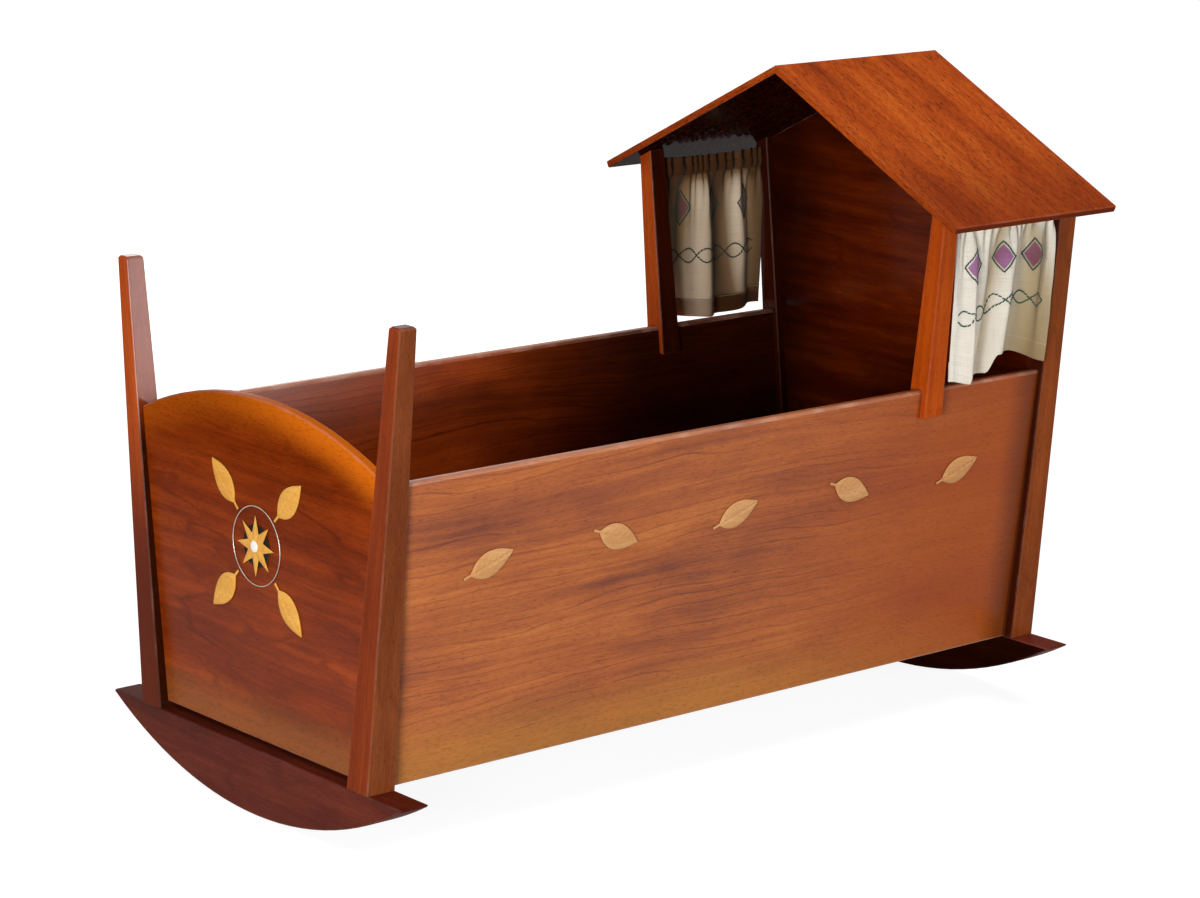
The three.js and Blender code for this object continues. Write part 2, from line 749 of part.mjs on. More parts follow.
// Star, roundel, centre, ring and four leaves, built up on the foot panel's outer face
function addFootOrnament() {
  const ornament = new THREE.Group();
  ornament.position.set(footPanelSetback, 0, starHeight);
  ornament.rotation.set(Math.PI / 2, -Math.PI / 2, 0);
  cradle.add(ornament);
  const roundel = addPiece(
    'star_roundel', disc(roundelRadius, roundelThickness, 32), materials.dark, ornament);
  roundel.position.z = fitGap;
  const star = addPiece('star', starGeometry(), materials.pale, ornament);
  star.position.z = roundel.position.z + roundelThickness + fitGap;
  const centre = addPiece(
    'star_centre', disc(starCentreRadius, starCentreThickness, 20), materials.bone, ornament);
  centre.position.z = star.position.z + starThickness + fitGap;
  const ring = addPiece(
    'star_ring', new THREE.TorusGeometry(ringRadius, ringWireRadius, 6, 40), materials.steel, ornament);
  ring.position.z = ringWireRadius + fitGap;
  for (let i = 0; i < 4; i++) {
    const turn = Math.PI / 4 + i * Math.PI / 2;
    const leaf = addPiece(`foot_leaf_${i + 1}`, leafGeometry(), materials.pale, ornament);
    leaf.position.set(-footLeafDistance * Math.sin(turn), footLeafDistance * Math.cos(turn), fitGap);
    leaf.rotation.z = turn;
  }
}

addRockers();
addPosts();
addPanels();
addBottom();
addRoof();
addCurtains();
addSideLeaves();
addFootOrnament();

export default cradle;
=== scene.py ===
"""Dresses the rocking bassinet.

Polished woods, applied leaves and star, linen curtains, floor, light and camera."""

import json
import math
from itertools import accumulate

import bmesh
import bpy
from mathutils import Matrix, Vector, noise


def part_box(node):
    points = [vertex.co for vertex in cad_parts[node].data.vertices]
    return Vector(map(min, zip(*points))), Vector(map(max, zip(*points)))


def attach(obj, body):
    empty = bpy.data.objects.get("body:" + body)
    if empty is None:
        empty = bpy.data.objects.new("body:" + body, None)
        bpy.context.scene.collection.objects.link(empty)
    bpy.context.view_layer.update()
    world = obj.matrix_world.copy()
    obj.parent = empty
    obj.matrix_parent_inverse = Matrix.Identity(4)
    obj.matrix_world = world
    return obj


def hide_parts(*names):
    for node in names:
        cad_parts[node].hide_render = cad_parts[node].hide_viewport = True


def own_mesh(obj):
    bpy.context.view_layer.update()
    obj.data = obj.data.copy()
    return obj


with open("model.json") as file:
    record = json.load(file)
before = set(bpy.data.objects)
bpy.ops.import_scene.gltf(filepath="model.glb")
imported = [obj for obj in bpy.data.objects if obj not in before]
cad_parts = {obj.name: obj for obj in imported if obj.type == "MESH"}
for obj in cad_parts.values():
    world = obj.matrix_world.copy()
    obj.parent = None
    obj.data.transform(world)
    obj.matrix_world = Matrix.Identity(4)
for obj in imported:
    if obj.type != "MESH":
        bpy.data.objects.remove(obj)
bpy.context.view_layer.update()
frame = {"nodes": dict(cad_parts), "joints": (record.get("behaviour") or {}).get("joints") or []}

MM = 0.001
CRADLE = "cradle"
SIDES = {"near": -1, "far": 1}
ALONG = (1, 0, 0)
ACROSS = (0, 1, 0)
UPWARD = (0, 0, 1)
TO_FOOT = (-1, 0, 0)
SIDE_LEAN = 0.11
ROOF_SLOPE = 0.5
WELD = 0.01 * MM
ARRIS_WIDTH = 2.4 * MM
TIP_ROUND = 3.5 * MM

# Camera, solved from the photograph
CAMERA_PLACE = Vector((-2.4070, -2.8181, 1.1804))
CAMERA_YAW = math.radians(40.31)
CAMERA_PITCH = math.radians(-13.26)
CAMERA_ROLL = math.radians(0.78)
CAMERA_LENS = 107.8


def smooth_step(value, low, high):
    share = min(1, max(0, (value - low) / (high - low)))
    return share * share * (3 - 2 * share)


class Value:
    """One value that varies over a surface. Arithmetic on it adds Math nodes."""

    def __init__(self, finish, socket):
        self.finish = finish
        self.socket = socket

    def __add__(self, other):
        return self.finish.maths("ADD", self, other)

    __radd__ = __add__

    def __sub__(self, other):
        return self.finish.maths("SUBTRACT", self, other)

    def __rsub__(self, other):
        return self.finish.maths("SUBTRACT", other, self)

    def __mul__(self, other):
        return self.finish.maths("MULTIPLY", self, other)

    __rmul__ = __mul__

    def __truediv__(self, other):
        return self.finish.maths("DIVIDE", self, other)

    def __mod__(self, other):
        return self.finish.maths("FLOORED_MODULO", self, other)

    def __abs__(self):
        return self.finish.maths("ABSOLUTE", self)


class Finish:
    """One material, whose nodes are added by its methods."""

    def __init__(self, name, **constants):
        self.material = bpy.data.materials.new(name)
        self.material.use_nodes = True
        self.tree = self.material.node_tree
        self.shader = self.tree.nodes["Principled BSDF"]
        self.surface(**constants)

    def node(self, kind, settings=None, inputs=None, output=0):
        made = self.tree.nodes.new(kind)
        for key, value in (settings or {}).items():
            if key == "stops":
                self._set_stops(made.color_ramp, value)
            else:
                setattr(made, key, value)
        for key, value in (inputs or {}).items():
            self.feed(made.inputs[key], value)
        return Value(self, made.outputs[output])

    def _set_stops(self, ramp, stops):
        while len(ramp.elements) < len(stops):
            ramp.elements.new(1)
        for element, (place, colour) in zip(ramp.elements, stops):
            element.position = place
            element.color = (*colour, 1)

    def feed(self, socket, value):
        if isinstance(value, Value):
            self.tree.links.new(value.socket, socket)
        elif isinstance(value, tuple) and len(value) == 3 and socket.type == "RGBA":
            socket.default_value = (*value, 1)
        else:
            socket.default_value = value

    def surface(self, **inputs):
        for socket, value in inputs.items():
            self.feed(self.shader.inputs[socket.replace("_", " ")], value)
        return self.material

    def maths(self, operation, *values):
        return self.node("ShaderNodeMath", {"operation": operation}, dict(enumerate(values)))

    def dot(self, vector, axis):
        """How far a vector reaches along an axis."""
        inputs = {0: vector, 1: tuple(axis)}
        return self.node("ShaderNodeVectorMath", {"operation": "DOT_PRODUCT"}, inputs, 1)

    def mix(self, factor, first, second, blend="MIX"):
        settings = {"data_type": "RGBA", "blend_type": blend}
        return self.node("ShaderNodeMix", settings, {0: factor, 6: first, 7: second}, 2)

    def place(self):
        return self.node("ShaderNodeTexCoord", output=3)

    def along(self, axis):
        """The place on the object along an axis, in metres."""
        return self.dot(self.place(), axis)

    def mapped(self, vector, location=(0, 0, 0), scale=(1, 1, 1)):
        inputs = {"Vector": vector, "Location": location, "Scale": scale}
        return self.node("ShaderNodeMapping", None, inputs)

    def joined(self, x, y, z):
        return self.node("ShaderNodeCombineXYZ", None, {0: x, 1: y, 2: z})

    def noise(self, vector, scale=1.0, detail=2.0, roughness=0.5):
        inputs = {"Vector": vector, "Scale": scale, "Detail": detail, "Roughness": roughness}
        return self.node("ShaderNodeTexNoise", None, inputs)

    def ramp(self, value, stops):
        return self.node("ShaderNodeValToRGB", {"stops": stops}, {0: value})

    def ease(self, value, low, high):
        """0 below low, 1 above high, smooth between."""
        inputs = {"Value": value, "From Min": low, "From Max": high}
        return self.node("ShaderNodeMapRange", {"interpolation_type": "SMOOTHSTEP"}, inputs)

    def attribute(self, name):
        return self.node("ShaderNodeAttribute", {"attribute_name": name}, output=2)

    def bump(self, height, strength, distance):
        inputs = {"Height": height, "Strength": strength, "Distance": distance}
        return self.node("ShaderNodeBump", None, inputs)


class Surround(Finish):
    """The world round the object, whose nodes are added by the same methods."""

    def __init__(self, world):
        world.use_nodes = True
        self.tree = world.node_tree


# How often each of the timber's noises repeats in a metre: along the grain and across it
GRAIN_REPEATS = {
    "sway": (2.4, 5), "clouds": (2.6, 12), "streaks": (2.6, 95), "ripples": (16, 34),
    "fibres": (42, 760), "dashes": (140, 1500), "flecks": (45, 420),
}
GRAIN_SWAY = 0.03
RINGS_PER_METRE = 70
TONE_PLACES = (0.12, 0.4, 0.62, 0.92)
PORE_SHADE = 0.4


def wood(name, grain, tones, shift=(0, 0, 0), figure=1.0, lines=0.5, pores=0.4, fleck=0.0, wear=0.35,
         polish=0.3, ior=1.12, washes=(), inner_tones=None, inner_washes=(), burnish=None):
    """Polished timber. tones run from the dark streaks to the light ones; grain is the fibres' direction.

    washes are pairs of a colour and the function that says where it lies, some of them painted shade;
    inner_tones and inner_washes do the same on the inner faces, for the most part as painted light and
    shade; burnish is a function that says where a burnished coat lies."""
    finish = Finish(name, IOR=ior, Coat_Roughness=0.35)
    placed = finish.mapped(finish.place(), location=shift)
    fibre = Vector(grain).normalized()
    beside = fibre.orthogonal().normalized()
    along, across, through = [finish.dot(placed, axis) for axis in (fibre, beside, fibre.cross(beside))]

    def figured(kind, first, second, detail=2.0, roughness=0.5):
        length, width = GRAIN_REPEATS[kind]
        strand = finish.joined(along * length, first * width, second * width)
        return finish.noise(strand, detail=detail, roughness=roughness)

    bend = (figured("sway", across, through) - 0.5) * GRAIN_SWAY
    bent = (across + bend, through + bend)
    clouds = figured("clouds", *bent, detail=3.0, roughness=0.55)
    streaks = figured("streaks", *bent, detail=4.0, roughness=0.6)
    ripples = figured("ripples", *bent)
    fibres = figured("fibres", *bent)
    dashes = figured("dashes", *bent, detail=0.0)
    flecks = figured("flecks", *bent, detail=1.0)
    rings = (bent[0] + bent[1]) * RINGS_PER_METRE + clouds * 5.0
    line = finish.ease(abs(rings % 1 - 0.5), 0.38, 0.5) * finish.ease(streaks, 0.4, 0.6) * lines
    tone = 0.5 + ((clouds - 0.5) * 1.25 + (streaks - 0.5) * 0.9 + (ripples - 0.5) * 0.4) * figure
    tone = tone + (fibres - 0.5) * 0.3 - line * 0.36
    colour = finish.ramp(tone, list(zip(TONE_PLACES, tones)))
    for wash, where in washes:
        colour = finish.mix(where(finish), colour, wash)
    inner = finish.attribute("inner")
    # The inner faces' own tones and washes, mostly painted light and shade.
    if inner_tones:
        colour = finish.mix(inner, colour, finish.ramp(tone, list(zip(TONE_PLACES, inner_tones))))
    for wash, where in inner_washes:
        colour = finish.mix(inner * where(finish), colour, wash)
    shaded = tuple(PORE_SHADE * c for c in tones[0])
    # The eased arrises' paler colour, broken up by noise: partly wear, partly a painted highlight.
    rubbed_and_highlit = tuple(0.7 * c + 0.2 for c in tones[-1])
    # Darker on end grain; on the leaves' cut rims this is painted shade.
    colour = finish.mix(finish.attribute("end_grain") * 0.85, colour, shaded)
    pore = finish.maths(
        "MAXIMUM", finish.ease(dashes, 0.6, 0.74) * pores, finish.ease(flecks, 0.58, 0.7) * fleck)
    colour = finish.mix(pore, colour, shaded)
    rub_and_glint = finish.noise(finish.place(), scale=38.0, detail=3.0)
    worn_and_highlit = finish.attribute("edge") * (0.35 + finish.ease(rub_and_glint, 0.45, 0.7) * 0.65) * wear
    colour = finish.mix(worn_and_highlit, colour, rubbed_and_highlit)
    gloss = finish.noise(finish.place(), scale=9.0, detail=3.0)
    rough = polish + (gloss - 0.5) * 0.14 + (fibres - 0.5) * 0.1 + pore * 0.15 - inner * 0.12
    normal = finish.bump(fibres * 0.4 - pore * 0.6, 0.15, 0.15 * MM)
    if burnish:
        finish.surface(Coat_Weight=burnish(finish))
    return finish.surface(Base_Color=colour, Roughness=rough, Normal=normal)


# Each wood's colours, from its dark streaks to its light ones. The hood, gable, shaded, flank and inner
# sets are copies for faces that the light reaches differently: painted light and shade.
SIDE_TONES = ((0.2, 0.057, 0.032), (0.35, 0.097, 0.036), (0.455, 0.132, 0.039), (0.56, 0.19, 0.053))
END_TONES = ((0.1, 0.012, 0.001), (0.17, 0.022, 0.002), (0.24, 0.034, 0.003), (0.36, 0.056, 0.005))
HEAD_TONES = ((0.09, 0.014, 0.002), (0.15, 0.024, 0.003), (0.2, 0.035, 0.005), (0.28, 0.05, 0.008))
POST_TONES = ((0.115, 0.015, 0.002), (0.18, 0.025, 0.003), (0.235, 0.036, 0.005), (0.32, 0.06, 0.01))
WARM_TONES = ((0.25, 0.033, 0.002), (0.39, 0.054, 0.003), (0.49, 0.078, 0.005), (0.6, 0.115, 0.009))
HEAD_POST_TONES = ((0.13, 0.028, 0.005), (0.21, 0.044, 0.008), (0.29, 0.063, 0.011), (0.37, 0.09, 0.016))
# Painted shade: a near-black copy for the roof boards' undersides and the head rocker's foot-facing face.
HOOD_SHADE_TONES = (
    (0.004, 0.0005, 0.0002), (0.009, 0.001, 0.0003), (0.014, 0.002, 0.0004), (0.024, 0.004, 0.0008))
# Painted shade: a dark copy for the inside of the head panel under the hood.
GABLE_SHADE_TONES = (
    (0.035, 0.003, 0.0002), (0.075, 0.007, 0.0004), (0.115, 0.013, 0.0007), (0.19, 0.027, 0.0015))
ROOF_TONES = ((0.27, 0.036, 0.004), (0.41, 0.062, 0.006), (0.5, 0.084, 0.008), (0.6, 0.125, 0.014))
ROCKER_TONES = ((0.06, 0.008, 0.003), (0.096, 0.014, 0.006), (0.127, 0.02, 0.009), (0.2, 0.035, 0.015))
SHADED_TONES = ((0.02, 0.0025, 0.0005), (0.04, 0.005, 0.001), (0.055, 0.008, 0.0015), (0.09, 0.015, 0.003))
# Painted light and shade: a redder copy of the side panels' timber for their inner faces.
INNER_LIT_TONES = ((0.16, 0.021, 0.002), (0.32, 0.045, 0.004), (0.46, 0.07, 0.006), (0.6, 0.1, 0.012))
# Painted shade: a darker copy of the post timber for the near foot post's outer flank.
SHADED_FLANK_TONES = ((0.11, 0.024, 0.006), (0.175, 0.04, 0.01), (0.23, 0.058, 0.016), (0.31, 0.09, 0.03))
BED_TONES = ((0.06, 0.008, 0.001), (0.12, 0.016, 0.002), (0.17, 0.024, 0.003), (0.24, 0.037, 0.006))
PALE_TONES = ((0.42, 0.17, 0.06), (0.58, 0.27, 0.1), (0.68, 0.36, 0.15), (0.78, 0.48, 0.24))
GOLD_TONES = ((0.5, 0.2, 0.03), (0.66, 0.3, 0.05), (0.74, 0.38, 0.08), (0.82, 0.5, 0.14))
ROUNDEL_TONES = ((0.004, 0.003, 0.002), (0.01, 0.006, 0.004), (0.016, 0.01, 0.006), (0.03, 0.018, 0.01))


def turns_sharply(edge, degrees):
    return edge.is_manifold and edge.calc_face_angle() > math.radians(degrees)


def shade(mesh, sharp_angle):
    """Smooth shading that stays crisp where two faces meet at more than sharp_angle degrees."""
    for face in mesh.faces:
        face.smooth = True
    for edge in mesh.edges:
        edge.smooth = not turns_sharply(edge, sharp_angle)


def open_edges(mesh):
    return [edge for edge in mesh.edges if edge.is_boundary]


def round_edges(mesh, edges, width, segments):
    """Rounds edges and returns the new faces."""
    return bmesh.ops.bevel(
        mesh, geom=edges, offset=width, offset_type="OFFSET", segments=segments, profile=0.5,
        affect="EDGES", clamp_overlap=True, material=-1)["faces"]


def made_object(name, mesh, material):
    """Stores a bmesh as an object with one material."""
    data = bpy.data.meshes.new(name)
    mesh.to_mesh(data)
    mesh.free()
    data.materials.append(material)
    made = bpy.data.objects.new(name, data)
    bpy.context.scene.collection.objects.link(made)
    return made


def even_normals(made):
    """Keeps the broad faces flat to the eye beside their rounded edges."""
    weighted = made.modifiers.new("even_normals", "WEIGHTED_NORMAL")
    weighted.keep_sharp = True


def settle(made):
    """Makes an object's modifiers part of its mesh."""
    depsgraph = bpy.context.evaluated_depsgraph_get()
    final = bpy.data.meshes.new_from_object(made.evaluated_get(depsgraph))
    made.modifiers.clear()
    made.data = final


def merged_node(node):
    """A CAD node's mesh as a bmesh, its loose triangles joined."""
    mesh = bmesh.new()
    mesh.from_mesh(frame["nodes"][node].data)
    bmesh.ops.remove_doubles(mesh, verts=mesh.verts, dist=WELD)
    return mesh


def stand_for(made, node):
    """The piece rides on the cradle in the place of a CAD node."""
    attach(made, CRADLE)
    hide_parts(node)


# How squarely a face has to look inward to be an inner one, and along the fibres to show end grain
INNER_FACING = 0.65
END_GRAIN_FACING = 0.85


def eased_board(node, slot, ease, grain, tones, shift=(0, 0, 0), inward=(), segments=3, sharpest=18,
                tip_round=0, **looks):
    """A CAD piece in timber, its arrises eased by hand and marked where wear, a painted highlight and end
    grain show.
    """
    mesh = merged_node(node)
    bmesh.ops.dissolve_limit(mesh, angle_limit=math.radians(0.5), verts=mesh.verts, edges=mesh.edges)
    if tip_round:
        reach = max(v.co.y for v in mesh.verts) - 0.5 * MM
        corners = [e for e in mesh.edges if all(abs(v.co.y) > reach for v in e.verts)
                   and abs(e.verts[0].co.x - e.verts[1].co.x) < WELD]
        round_edges(mesh, corners, tip_round, 4)
    sharp = [e for e in mesh.edges if turns_sharply(e, sharpest)]
    edge = mesh.faces.layers.float.new("edge")
    for face in mesh.faces:
        longest = max(e.calc_length() for e in face.edges)
        face[edge] = face.calc_area() < ARRIS_WIDTH * longest
    for face in round_edges(mesh, sharp, ease, segments):
        face[edge] = 1
    mesh.normal_update()
    end_grain = mesh.faces.layers.float.new("end_grain")
    inner = mesh.faces.layers.float.new("inner")
    fibre = Vector(grain).normalized()
    for face in mesh.faces:
        face[end_grain] = abs(face.normal.dot(fibre)) > END_GRAIN_FACING
        face[inner] = any(face.normal.dot(Vector(way).normalized()) > INNER_FACING for way in inward)
    shade(mesh, 60)
    timber = wood(f"{node}_wood", grain, tones, shift, **looks)
    board = made_object(f"{node}_finished", mesh, timber)
    even_normals(board)
    stand_for(board, node)


def rising(axis, low, high, most=1.0):
    """A wash that grows along an axis, from none at low to most at high."""
    return lambda finish: finish.ease(finish.along(axis), low, high) * most


def fading(axis, low, high, most=1.0):
    """A wash that fades along an axis, from most at low to none at high."""
    return lambda finish: (1 - finish.ease(finish.along(axis), low, high)) * most


def inside(where):
    """A wash kept to the inner faces."""
    return lambda finish: finish.attribute("inner") * where(finish)


FOOT_PANEL_LOW, FOOT_PANEL_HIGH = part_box("foot_panel")
SIDE_PANEL_LOW, SIDE_PANEL_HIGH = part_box("near_side_panel")
_, ROOF_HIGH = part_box("far_roof_board")

# Washes and burnishing that need only an axis. Places are in metres
FOOT_GLOW = fading(UPWARD, FOOT_PANEL_LOW.z + 0.005, FOOT_PANEL_LOW.z + 0.06, 0.6)
HEAD_END = rising(ALONG, -0.05, 0.4, 0.8)
# Painted shade: the side panels darken beside the head post.
HEAD_CORNER_SHADE = rising(ALONG, SIDE_PANEL_HIGH.x - 0.055, SIDE_PANEL_HIGH.x - 0.015, 0.6)
# Painted shade: the side panels' inner faces go near black towards the head end.
INSIDE_HEAD_END_SHADE = rising(ALONG, -0.08, 0.24, 0.85)
# Painted shade: the far foot post darkens low down.
POST_FOOT_SHADE = fading(UPWARD, 0.2, 0.42, 0.85)
# Painted shade: the far foot post's inner face darkens below the panel's top.
POST_SHADE_BESIDE_PANEL = fading(UPWARD, 0.34, 0.4)
BURNISHED_FOOT_PANEL = fading(UPWARD, 0.16, 0.4, 0.3)
BURNISHED_FOOT_END = inside(fading(ALONG, -0.42, 0.02))
BURNISHED_POST_TOP = inside(rising(UPWARD, 0.34, 0.4, 0.7))

ARCH_RADIUS = 0.488
ARCH_GLOW_WIDTH = 0.042
SAPWOOD_RISE = 0.1
EAVE_WIDTH = 0.17


def arch_glow(finish):
    """A lighter band under the foot panel's arch, most on the near side."""
    across = finish.along(ACROSS)
    rise = finish.along(UPWARD) - (FOOT_PANEL_HIGH.z - ARCH_RADIUS)
    reach = finish.maths("SQRT", across * across + rise * rise)
    band = finish.ease(reach, ARCH_RADIUS - ARCH_GLOW_WIDTH, ARCH_RADIUS - 2 * MM)
    return band * (0.95 - finish.ease(across, -0.1, 0.12) * 0.6)


def low_band(finish):
    """The sapwood along the side panels' bottom edge."""
    wander = finish.noise(finish.place(), scale=4.0, detail=2.0)
    height = finish.along(UPWARD) + wander * 0.05 - SIDE_PANEL_LOW.z
    return (1 - finish.ease(height, 0.03, SAPWOOD_RISE)) * 0.65


def eaves_shade(finish):
    """The lower part of a roof board, darker towards the eaves: painted shade."""
    return finish.ease(abs(finish.along(ACROSS)), ROOF_HIGH.y - EAVE_WIDTH, ROOF_HIGH.y) * 0.6


def gable_shade(finish):
    """The inside of the head panel, under the ridge and towards the far post."""
    far = rising(ACROSS, 0.08, 0.2, 0.75)
    high = rising(UPWARD, 0.53, 0.64, 0.9)
    return finish.maths("MAXIMUM", far(finish), high(finish))


def burnished_roof(finish):
    """The top of the roof boards."""
    return (1 - finish.attribute("inner")) * 0.06


def burnished_rocker(finish):
    """The outer face of the foot rocker."""
    return finish.attribute("inner") * 0.18


POST_LOOKS = {"figure": 0.7, "wear": 0.12}


def dress_side(side, face):
    """The boards and posts of one side; face is -1 on the near side and 1 on the far."""
    shift = (0.0, 3.1, 0.0) if side == "near" else (5.3, 0.7, 1.9)
    inward = [(0, -face, 0)]
    upright = (0, face * SIDE_LEAN, 1)
    fall = (0, face, -ROOF_SLOPE)
    eased_board(
        f"{side}_side_panel", "side_panel_wood", 0.9 * MM, ALONG, SIDE_TONES, shift, inward,
        lines=0.9, wear=0.6, ior=1.2,
        washes=[((0.49, 0.2, 0.038), low_band), ((0.36, 0.062, 0.006), HEAD_END),
                ((0.06, 0.012, 0.003), HEAD_CORNER_SHADE)],
        inner_tones=INNER_LIT_TONES, inner_washes=[((0.006, 0.0006, 0.0001), INSIDE_HEAD_END_SHADE)],
        burnish=BURNISHED_FOOT_END)
    # The near foot post's outer flank is darker: painted shade.
    foot_looks = {"inner_tones": SHADED_FLANK_TONES}
    # The far foot post: darker low down, and a darker copy of the post timber on its inner face: painted
    # shade.
    if side == "far":
        foot_looks = {
            "washes": [((0.05, 0.003, 0.0003), POST_FOOT_SHADE)], "inner_tones": POST_TONES,
            "inner_washes": [((0.03, 0.005, 0.001), POST_SHADE_BESIDE_PANEL)], "burnish": BURNISHED_POST_TOP,
        }
    eased_board(
        f"{side}_foot_post", "post_wood", 0.5 * MM, upright, POST_TONES if side == "near" else WARM_TONES,
        (0, face * 2.3, 0), [(0, -1, 0)], **POST_LOOKS, **foot_looks)
    eased_board(
        f"{side}_head_post", "post_wood", 0.5 * MM, upright, HEAD_POST_TONES, (1.7, face * 2.3, 0.9),
        inward + [TO_FOOT], inner_tones=SHADED_TONES, **POST_LOOKS)
    eased_board(
        f"{side}_hood_post", "post_wood", 0.5 * MM, upright, WARM_TONES, (3.4, face * 2.3, 1.8),
        inward, inner_tones=SHADED_TONES, **POST_LOOKS)
    # The roof boards' undersides are near black: painted shade.
    eased_board(
        f"{side}_roof_board", "roof_wood", 0.8 * MM, fall, ROOF_TONES, (shift[1], shift[0], 2.2),
        [(0, -face * ROOF_SLOPE, -1)], figure=1.25, lines=0.9, pores=1.0, fleck=0.55, wear=0.15,
        polish=0.17, ior=1.02, washes=[((0.2, 0.025, 0.003), eaves_shade)], inner_tones=HOOD_SHADE_TONES,
        burnish=burnished_roof)
    eased_board(f"{side}_side_ledge", "inner_wood", 0.8 * MM, ALONG, BED_TONES, shift, segments=2)


def dress_ends():
    """The end panels, the rockers, the end ledges and the bottom board."""
    eased_board(
        "foot_panel", "end_panel_wood", 1.0 * MM, ACROSS, END_TONES, (1.2, 0.4, 0.3), [ALONG],
        lines=0.7, ior=1.02, washes=[((0.6, 0.13, 0.005), arch_glow), ((0.3, 0.1, 0.022), FOOT_GLOW)],
        inner_tones=BED_TONES, burnish=BURNISHED_FOOT_PANEL)
    eased_board(
        "head_panel", "end_panel_wood", 0.8 * MM, ACROSS, HEAD_TONES, (4.2, 2.4, 0.8), [TO_FOOT],
        inner_tones=GABLE_SHADE_TONES, inner_washes=[((0.004, 0.0005, 0.0001), gable_shade)])
    # The head rocker's foot-facing face is near black: painted shade.
    for place, tones, turn, burnish in (
            ("foot", ROCKER_TONES, 1.4, burnished_rocker), ("head", HOOD_SHADE_TONES, 3.8, None)):
        eased_board(
            f"{place}_rocker", "rocker_wood", 0.9 * MM, ACROSS, ROCKER_TONES, (turn, 1.4, 0.2), [TO_FOOT],
            tip_round=TIP_ROUND, wear=0.15, polish=0.4, ior=1.03, inner_tones=tones, burnish=burnish)
        eased_board(
            f"{place}_end_ledge", "inner_wood", 0.8 * MM, ACROSS, BED_TONES, (0.3, turn, 0.6), segments=2)
    eased_board("bottom_board", "inner_wood", 1.0 * MM, ALONG, BED_TONES, (0.9, 1.9, 0.4), segments=2)


# Applied leaves: the blade's outline is one curve, from the stalk over a full shoulder to the tip
LEAF_HALF = 27.0 * MM
LEAF_SHOULDER = 26.0 * MM
LEAF_SHOULDER_PLACE = -6.75 * MM
STALK_LENGTH = 9.0 * MM
STALK_HALF = 1.3 * MM
STALK_SHARE = 0.12
LEAF_EDGE = 0.9 * MM
LEAF_CROWN = 2.0 * MM
VEIN_HALF = 0.9 * MM
VEIN_DEPTH = 1.0 * MM
SIDE_VEIN_PITCH = 7.5 * MM
SIDE_VEIN_DEPTH = 0.5 * MM
LEAF_STEPS = 44
LEAF_ROWS = 16


def leaf_relief(along, across, half):
    """The carved height over the panel: a crown, a middle vein and slanting side veins."""
    share = min(1.0, abs(across) / max(half, 0.1 * MM))
    round_off = math.sqrt(1 - share ** 4)
    height = LEAF_EDGE + LEAF_CROWN * (1 - 0.45 * share) * round_off * min(1, half / (6 * MM)) ** 0.6
    vein = VEIN_DEPTH * math.exp(-((across / VEIN_HALF) ** 2)) * min(1, half / (4 * MM))
    slant = ((along - 0.75 * abs(across)) / SIDE_VEIN_PITCH) % 1
    groove = SIDE_VEIN_DEPTH * math.exp(-(((slant - 0.5) / 0.12) ** 2)) * (1 - share ** 3)
    return height - vein - groove * min(1, half / (5 * MM))


def close_back(mesh):
    """Draws a carved face's rim down to its back plane and closes it there. Returns the wall's faces."""
    wall = bmesh.ops.extrude_edge_only(mesh, edges=open_edges(mesh))["geom"]
    for part in wall:
        if isinstance(part, bmesh.types.BMVert):
            part.co.z = 0
    bmesh.ops.contextual_create(mesh, geom=open_edges(mesh))
    return [part for part in wall if isinstance(part, bmesh.types.BMFace)]


def leaf_mesh():
    """A leaf with its tip along +x of its own plane and its back on the plane."""
    mesh = bmesh.new()
    bmesh.ops.create_grid(mesh, x_segments=LEAF_STEPS, y_segments=LEAF_ROWS, size=1)
    for vertex in mesh.verts:
        step = (vertex.co.x + 1) / 2
        side = vertex.co.y
        if step < STALK_SHARE:
            along = -LEAF_HALF - STALK_LENGTH * (1 - step / STALK_SHARE)
            half = STALK_HALF
        else:
            t = (step - STALK_SHARE) / (1 - STALK_SHARE)
            along = -LEAF_HALF * (1 - t) ** 2 + 2 * t * (1 - t) * LEAF_SHOULDER_PLACE + LEAF_HALF * t * t
            half = STALK_HALF * (1 - t) ** 2 + 2 * t * (1 - t) * LEAF_SHOULDER
        spread = math.copysign(abs(side) ** 0.85, side) * half
        vertex.co = (along, spread, leaf_relief(along, spread, half))
    bmesh.ops.remove_doubles(mesh, verts=mesh.verts, dist=WELD)
    # The rim's walls take the end grain's darker colour: painted shade round each leaf.
    end_grain = mesh.faces.layers.float.new("end_grain")
    for face in close_back(mesh):
        face[end_grain] = 1
    bmesh.ops.triangulate(mesh, faces=[f for f in mesh.faces if len(f.verts) > 4])
    bmesh.ops.recalc_face_normals(mesh, faces=mesh.faces)
    shade(mesh, 38)
    return mesh


def plane_basis(forward, outward, origin):
    """A frame with x along forward, z along outward, at origin."""
    z = outward.normalized()
    x = (forward - z * forward.dot(z)).normalized()
    y = z.cross(x)
    return Matrix.Translation(origin) @ Matrix((x, y, z)).transposed().to_4x4()


def foot_facing_basis(low, high):
    """The frame of an ornament on the foot panel: z towards the foot end, from the middle of its back."""
    seat = (low + high) / 2
    seat.x = high.x
    return plane_basis(Vector(UPWARD), Vector(TO_FOOT), seat)


